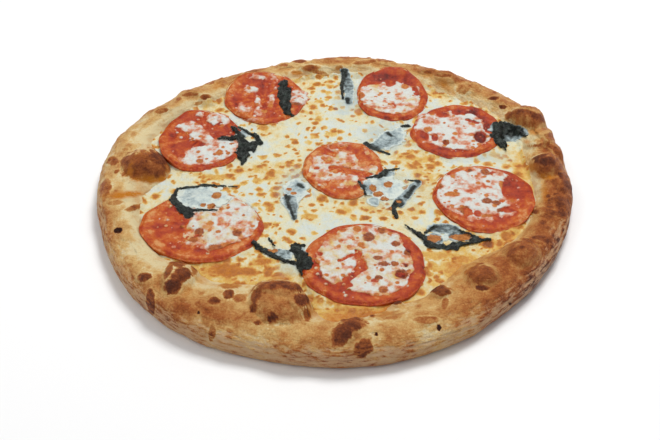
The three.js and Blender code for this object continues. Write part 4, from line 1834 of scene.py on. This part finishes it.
@dataclass
class Draped:
    """A thin piece over what lies below it, cut out of a fine grid by a rule."""

    name: str
    node: str
    slot: Slot
    reach: tuple[Point, Point]
    step: float = 0.5
    under: float = 0.7
    easing: int = 2
    unprobed: float = 11.0
    probe_margin: float = 0.2
    probe_rounds: int = 6
    lifted: float = 0.8

    def build(self, carrier: Surface, rule: Rule, dress: Dress, finish: Material) -> Thing:
        """Builds the piece.

        Args:
            carrier: What it lies on.
            rule: Amount of stuff at places as seen at the toppings' level, above 0 inside.
            dress: Gives the height above the carrier and the painted layers, from the
                places, the amount and the seen places.
            finish: Its material.

        Returns:
            The finished piece.
        """
        low, high = self.reach
        piece, shape = sheet(self.name, (low[0] - 2, low[1] - 5), (high[0] + 2, high[1] + 5), self.step)
        x, y, _ = (vertices(piece) / MM).T
        rough_seen = SIGHT.seen(x, y, SLICE_LEVEL)
        wanted = (rule(*rough_seen) > -self.probe_margin).astype(float)
        near = eased(wanted, shape, self.probe_rounds) > 0.01
        ground = np.full(len(x), self.unprobed)
        ground[near] = carrier.height(x[near], y[near])
        ground = eased(ground, shape, self.easing)
        seen = SIGHT.seen(x, y, ground + self.lifted)
        amount = rule(*seen)
        lift, layers = dress(x, y, amount, np.stack(seen))
        move_vertices(piece, np.stack([x, y, ground + lift], 1))
        paint(piece, **{name: np.clip(values, 0, 1) for name, values in layers.items()})
        trim(piece, (amount > 0) & near)
        thicken(piece, self.under)
        settle(piece, finish, self.slot, self.node)
        return piece


@dataclass
class MeltedPatch:
    """Cheese that melted on a slice, thick in its middle and ragged at its edge."""

    look: SliceLook
    oval: Oval
    grain: Grain = field(default_factory=lambda: Grain(41))

    def amount(self, x: Array, y: Array) -> Array:
        """How much cheese lies at each point; below 0 there is none.

        Args:
            x: X as seen at the toppings' level.
            y: Y as seen at the toppings' level.

        Returns:
            The amount at each point.
        """
        most = np.full(len(x), -1.0)
        for blob in self.look.melt:
            most = np.maximum(most, blob.strength * (1 - blob.share(x, y) ** 2.2))
        angle = np.degrees(np.arctan2(y - self.oval.y, x - self.oval.x))
        share = self.oval.share(x, y) + 0.05 * self.grain.layered(x / 7, y / 7, 5.0, 2)
        flecks = self.grain.spots(x + 9, y + 5, 5.2, 1.7, 0.45) * ramp(share, 0.92, 0.84)
        for peak, span, depth in self.look.rings:
            away = np.abs((angle - peak + 180) % 360 - 180)
            inner = 1 - depth * ramp(away, span, 0.45 * span)
            most = most - 1.1 * ramp(share, inner - 0.06, inner + 0.02)
        for gap in self.look.bare:
            most = most - 0.9 * gap.strength * ramp(gap.share(x, y), 1.2, 0.6)
        most = np.maximum(most, 0.9 * flecks - 0.45)
        holes = ramp(self.grain.spots(x, y, 8.0, 1.8, 0.28), 0.1, 0.7)
        rough = 0.42 * self.grain.layered(x / 4, y / 4, 1.0, 4)
        rough = rough + 0.16 * self.grain.layered(x / 11, y / 11, 2.0, 2)
        return most + rough - 0.45 * holes + 0.10

    def dress(self, x: Array, y: Array, amount: Array, seen: Array) -> tuple[Array, dict[str, Array]]:
        """Height above the slice, and how thick and toasted the cheese is.

        Args:
            x: X of the vertices.
            y: Y of the vertices.
            amount: The amount of cheese at them.
            seen: Their places as seen at the toppings' level.

        Returns:
            The height and the painted layers.
        """
        rough = 0.4 * self.grain.layered(x / 3, y / 3, 8.0, 3)
        body = ramp(amount, -0.1, 0.9)
        lift = 1.0 * ramp(amount, 0, 0.8) ** 0.7 - 0.4
        lift = lift + body * (0.5 * self.grain.layered(x / 3, y / 3, 6.0, 3))
        spot, scorch = field_of(self.look.spots, *seen, 0.6 * rough)
        specks = 0.3 + 0.6 * self.grain.spots(x + 30, y, 5.0, 1.5, 0.32)
        scorch = np.where(spot > specks, scorch, 0.45 + 0.6 * rough)
        film = body * (0.85 + 0.95 * self.grain.layered(x / 4.5, y / 4.5, 9.0, 3))
        cream = self.look.cream + 0.3 * self.grain.layered(x / 9, y / 9, 3.0, 3)
        return lift, {"body": film, "spot": np.maximum(spot, specks), "scorch": scorch, "cream": cream}

    def build(self, carrier: Surface, finish: Material) -> Thing:
        """Builds the patch.

        Args:
            carrier: The slice and what is round it.
            finish: The thin cheese material.

        Returns:
            The finished piece.
        """
        number, half = self.look.number, (self.oval.width / 2, self.oval.depth / 2)
        low = (self.oval.x - half[0], self.oval.y - half[1])
        high = (self.oval.x + half[0] + 2, self.oval.y + half[1] + 2)
        sheet_of = Draped(f"melted_patch_{number}", f"melt_{number}", Slot.CHEESE, (low, high), easing=3)
        return sheet_of.build(carrier, self.amount, self.dress, finish)


# --------------------------------------------------------------------------- basil


@dataclass(frozen=True)
class LeafLook:
    """One wilted leaf: dark folds, parts that lie under a film of cheese, toasted spots."""

    number: int
    folds: tuple[Strand, ...]
    film: tuple[Area, ...] = ()
    spots: tuple[Oval, ...] = ()
    height: float = 2.2


LEAVES = (
    LeafLook(
        1, height=2.4,
        folds=(
            Strand((-38, 117), (-37, 98), (6, 8)), Strand((-37, 98), (-33, 77), (8, 5)),
            Strand((-33, 108), (-33, 95), (3, 3)), Strand((-35, 79), (-30, 75), (4, 3)),
        ),
    ),
    LeafLook(
        2, height=0.8,
        folds=(
            Strand((5, 114), (5.5, 96), (3, 1.6)), Strand((7, 134), (5, 114), (3, 2.5)),
            Strand((9, 96), (9, 91), (3, 2)),
        ),
        film=(Strand((7, 134), (10, 112), (7, 9), 0.3), Strand((10, 112), (10, 91), (8, 6), 0.42)),
    ),
    LeafLook(
        3, height=2.4,
        folds=(
            Strand((-71, 61), (-64, 49), (4, 4)), Strand((-66, 60), (-55, 50), (3, 3)),
            Strand((-55, 52), (-51, 42), (3, 4)), Strand((-80, 47), (-67, 48), (2, 5)),
            Strand((-66, 48), (-61, 38), (5, 5)), Strand((-62, 40), (-62, 26), (9, 8)),
            Strand((-54, 43), (-55, 33), (4, 3)), Strand((-61, 27), (-62, 18), (7, 2)),
            Strand((-60, 38), (-55, 42), (4, 4)),
        ),
        film=(Oval(-64, 52, 9, 15, 0.62, -25), Oval(-57, 38, 7, 10, 0.22)),
    ),
    LeafLook(
        4, height=1.2,
        folds=(
            Strand((-100, -7), (-86, -4.5), (2.5, 2.5)), Strand((-87, -4.5), (-79, -4), (3, 2.5)),
            Strand((-80, -4.5), (-64, -5.5), (2, 1.4)), Strand((-102, -8), (-104, -18), (3, 4)),
            Strand((-104, -18), (-92, -34), (5, 6)), Strand((-95, -28), (-87, -29), (4, 3)),
            Strand((-88, -29), (-75, -29), (2.2, 1.6)),
        ),
        film=(Oval(-86, -16, 36, 25, 0.78),),
        spots=(Oval(-76, -14, 7, 7, 0.8), Oval(-79, -25, 6, 6, 0.9), Oval(-84, -24, 4, 4, 0.8)),
    ),
    LeafLook(
        5, height=0.6,
        folds=(
            Strand((-32, -14), (-31, -18), (3, 3)), Strand((-24, -3), (-21, -6), (2.4, 1.6)),
            Strand((-31, -19), (-26, -38), (1.6, 1)),
        ),
        film=(Strand((-29, -18), (-26, -37), (12, 4), 0.4), Oval(-26, -8, 18, 22, 0.66)),
        spots=(Oval(-30, -8, 4, 3, 0.8), Oval(-27, -12, 4, 3, 0.8)),
    ),
    LeafLook(
        6, height=2.2,
        folds=(
            Strand((-50, -60), (-46, -65), (3, 4)), Strand((-47, -65), (-38, -71), (4, 4)),
            Strand((-39, -71), (-30, -77), (3, 3)), Strand((-41, -56), (-37, -64), (1.6, 2)),
            Strand((-25, -64), (-18, -79), (6, 9)), Strand((-25, -64), (-20, -62), (3, 3)),
            Strand((-29, -77), (-16, -81), (3, 4)), Strand((-22, -80), (-20, -90), (4, 1)),
        ),
        film=(Oval(-33, -70, 16, 9, 0.5, -20), Oval(-21, -72, 9, 16, 0.24, 10)),
        spots=(Oval(-38, -67, 6, 4, 0.9),),
    ),
    LeafLook(
        7, height=1.1,
        folds=(
            Strand((20, 42), (26, 36), (3, 4)), Strand((26, 36), (36, 30), (4, 2)),
            Strand((46, 62), (51, 62), (2, 3)), Strand((36, 54), (38, 51), (2, 2)),
        ),
        film=(Oval(37, 47, 18, 32, 0.5, -42), Oval(29, 39, 13, 10, 0.42)),
    ),
    LeafLook(
        8, height=1.3,
        folds=(
            Strand((28, 5), (33, 11), (4, 4)), Strand((33, 11), (42, 14), (3, 1.4)),
            Strand((15, 0), (18, -6), (2, 2.4)), Strand((18, -6), (19, -14), (2, 1.4)),
            Strand((51, -5), (45, -15), (1.8, 2.4)), Strand((39, -22), (36, -27), (5, 5)),
            Strand((36, -26), (38, -36), (4, 2.4)), Strand((44, 3), (54, 0), (1, 2)),
            Strand((20, 4), (28, 6), (1.6, 2)),
        ),
        film=(
            Oval(31, -6, 28, 26, 0.8), Strand((53, -1), (40, -22), (6, 9), 0.42),
            Oval(22, -6, 11, 18, 0.5), Oval(24, -20, 9, 10, 0.6), Oval(33, 8, 12, 7, 0.4, 10),
        ),
        spots=(
            Oval(24, -7, 5, 8, 0.8), Oval(27, -13, 7, 6, 0.85), Oval(31, -19, 6, 8, 0.85),
            Oval(34, -3, 6, 6, 0.75), Oval(33, -28, 4, 5, 0.8), Oval(40, -21, 4, 4, 0.7),
        ),
    ),
    LeafLook(
        9, height=1.8,
        folds=(
            Strand((43, -44), (54, -56), (1.6, 4)), Strand((53, -55), (57, -62), (4, 5)),
            Strand((57, -63), (72, -64), (4, 5)), Strand((71, -63), (84, -59), (5, 4)),
            Strand((83, -58), (94, -57), (5, 2.4)), Strand((55, -51), (61, -45), (2, 2)),
            Strand((76, -49), (86, -56), (2, 3)),
        ),
        film=(
            Oval(67, -47, 24, 10, 0.26, -4), Oval(60, -56, 12, 12, 0.3), Oval(67, -55, 4, 8, 0.8),
            Oval(76, -54, 18, 10, 0.3, -10),
        ),
        spots=(Oval(60, -56, 9, 7), Oval(75, -55, 13, 6)),
    ),
    LeafLook(
        10, height=2.8,
        folds=(
            Strand((113, 63), (111, 50), (7, 9)), Strand((115, 65), (125, 59), (5, 6)),
            Strand((120, 61), (118, 55), (9, 8)), Strand((124, 55), (132, 48), (5, 2)),
            Strand((111, 50), (113, 39), (8, 6)), Strand((113, 40), (115, 33), (5, 1)),
        ),
        film=(Oval(119, 57, 26, 20, 0.12, -20), Oval(120, 48, 16, 8, 0.42, 10)),
    ),
)


@dataclass
class BasilLeaf:
    """A wilted leaf draped over what lies under it."""

    look: LeafLook
    grain: Grain = field(default_factory=lambda: Grain(51))

    def fold(self, x: Array, y: Array) -> Array:
        """How deep points lie in a dark fold; below 0 they lie outside all of them."""
        return np.max([1.05 - strand.share(x, y) for strand in self.look.folds], axis=0)

    def amount(self, x: Array, y: Array) -> Array:
        """How much of the leaf lies at each point; below 0 there is none.

        Args:
            x: X as seen at the toppings' level.
            y: Y as seen at the toppings' level.

        Returns:
            The amount at each point.
        """
        film = np.max([np.full(len(x), -1.0)] + [1 - part.share(x, y) for part in self.look.film], axis=0)
        ragged = self.grain.layered(x / 3.2, y / 3.2, self.look.number * 3.0, 3)
        return np.maximum(self.fold(x, y) + 0.5 * ragged + 0.05, 1.4 * film + 0.35 * ragged)

    def dress(self, x: Array, y: Array, amount: Array, seen: Array) -> tuple[Array, dict[str, Array]]:
        """Height above what carries the leaf, and where cheese covers it.

        Args:
            x: X of the vertices.
            y: Y of the vertices.
            amount: The amount of leaf at them.
            seen: Their places as seen at the toppings' level.

        Returns:
            The height and the painted layers.
        """
        seed = self.look.number * 5.0
        ragged = self.grain.layered(seen[0] / 3.2, seen[1] / 3.2, self.look.number * 3.0, 3)
        fold = self.fold(*seen) + 0.5 * ragged
        crumple = 0.5 - np.abs(self.grain.layered(x / 4.5, y / 4.5, seed, 2)) * 2
        crumple = crumple + 0.5 * (0.4 - np.abs(self.grain.layered(x / 2, y / 2, seed, 2)) * 2)
        dark = ramp(fold, -0.10, 0.12)
        lift = 0.3 + self.look.height * dark * (0.45 * np.sqrt(np.clip(fold, 0, 1)) + 0.6 * (crumple + 0.2))
        lift = lift + (1 - dark) * 0.3 * crumple
        _, tone = field_of(self.look.film, *seen, EVERYWHERE)
        veil = tone - 0.30 * ramp(fold, -1.2, 0.1) + 0.60 * (1 - ramp(amount, 0.0, 0.5))
        veil = veil + 0.22 * self.grain.layered(x / 5, y / 5, seed + 2, 3) + 0.12 * crumple
        spot, _ = field_of(self.look.spots, *seen, 0.25 * ragged)
        return np.maximum(0.3, lift), {"cover": 1 - dark, "veil": veil, "spot": spot}

    def build(self, carrier: Surface, finish: Material) -> Thing:
        """Builds the leaf.

        Args:
            carrier: What the leaf lies on.
            finish: The basil material.

        Returns:
            The finished piece.
        """
        ends = np.array([end for strand in self.look.folds for end in (strand.start, strand.end)])
        ovals = [part for part in self.look.film if isinstance(part, Oval)]
        mids = np.array([(oval.x, oval.y) for oval in ovals] or [ends[0]])
        sizes = np.array([(oval.width / 2, oval.depth / 2) for oval in ovals] or [(0, 0)])
        low = np.minimum(ends.min(0) - 6, (mids - sizes).min(0) - 2)
        high = np.maximum(ends.max(0) + 6, (mids + sizes).max(0) + 2)
        number = self.look.number
        names = (f"basil_leaf_{number}", f"basil_{number}")
        leaf = Draped(*names, Slot.BASIL, (low, high), step=0.45, under=0.5, easing=6)
        return leaf.build(carrier, self.amount, self.dress, finish)


# --------------------------------------------------------------------------- studio


@dataclass(frozen=True)
class Lamp:
    """A soft square lamp that faces the pizza, in metres and watts."""

    name: str
    place: Place
    size: float
    power: float

    def build(self) -> None:
        """Hangs the lamp."""
        data = bpy.data.lights.new(self.name, "AREA")
        data.size = self.size
        data.energy = self.power
        lamp = bpy.data.objects.new(self.name, data)
        lamp.location = self.place
        lamp.rotation_euler = (-Vector(self.place)).to_track_quat("-Z", "Y").to_euler()
        bpy.context.scene.collection.objects.link(lamp)


@dataclass(frozen=True)
class Studio:
    """Plain pale floor, soft lamps and an even sky."""

    floor_size: float = 4.0
    floor_tone: Colour = (0.86, 0.86, 0.86)
    floor_rough: float = 0.9
    lamps: tuple[Lamp, ...] = (
        Lamp("key", (0.35, 0.55, 1.3), 0.6, 17.0),
        Lamp("fill", (-0.9, -0.6, 1.2), 1.2, 6.0),
    )
    sky: float = 0.42

    def floor(self) -> None:
        """Lays the floor."""
        bpy.ops.object.select_all(action="DESELECT")
        bpy.ops.mesh.primitive_plane_add(size=self.floor_size, location=(0, 0, 0))
        plane = bpy.context.object
        plane.name = "studio_floor"
        material = bpy.data.materials.new("studio_floor")
        material.use_nodes = True
        shader = material.node_tree.nodes["Principled BSDF"]
        shader.inputs["Base Color"].default_value = (*self.floor_tone, 1)
        shader.inputs["Roughness"].default_value = self.floor_rough
        plane.data.materials.append(material)

    def build(self) -> None:
        """Lays the floor, hangs the lamps and sets the sky."""
        self.floor()
        for lamp in self.lamps:
            lamp.build()
        scene = bpy.context.scene
        world = bpy.data.worlds.new("sky")
        world.use_nodes = True
        light = world.node_tree.nodes["Background"]
        light.inputs["Color"].default_value = (1, 1, 1, 1)
        light.inputs["Strength"].default_value = self.sky
        scene.world = world
        scene.view_settings.view_transform = "Standard"
        scene.view_settings.look = "None"


# --------------------------------------------------------------------------- the pizza


def main() -> None:
    """Builds the pizza from the crust up, then the studio."""
    logging.basicConfig(level=logging.INFO, format="%(name)s %(message)s")
    SIGHT.build()
    crust = Crust().build()
    cheese = Cheese().build(crust)
    bed = Surface(crust, cheese)
    tomato = TomatoFinish().make()
    slices = [TomatoSlice(look).build(bed, tomato) for look in SLICES]
    film = MeltFinish().make()
    table = Surface(crust, cheese, *slices)
    melts = [MeltedPatch(look, TomatoSlice(look).footprint()).build(table, film) for look in SLICES]
    top = Surface(crust, cheese, *slices, *melts)
    basil = BasilFinish().make()
    for look in LEAVES:
        BasilLeaf(look).build(top, basil)
    Studio().build()


if __name__ == "__main__":
    main()
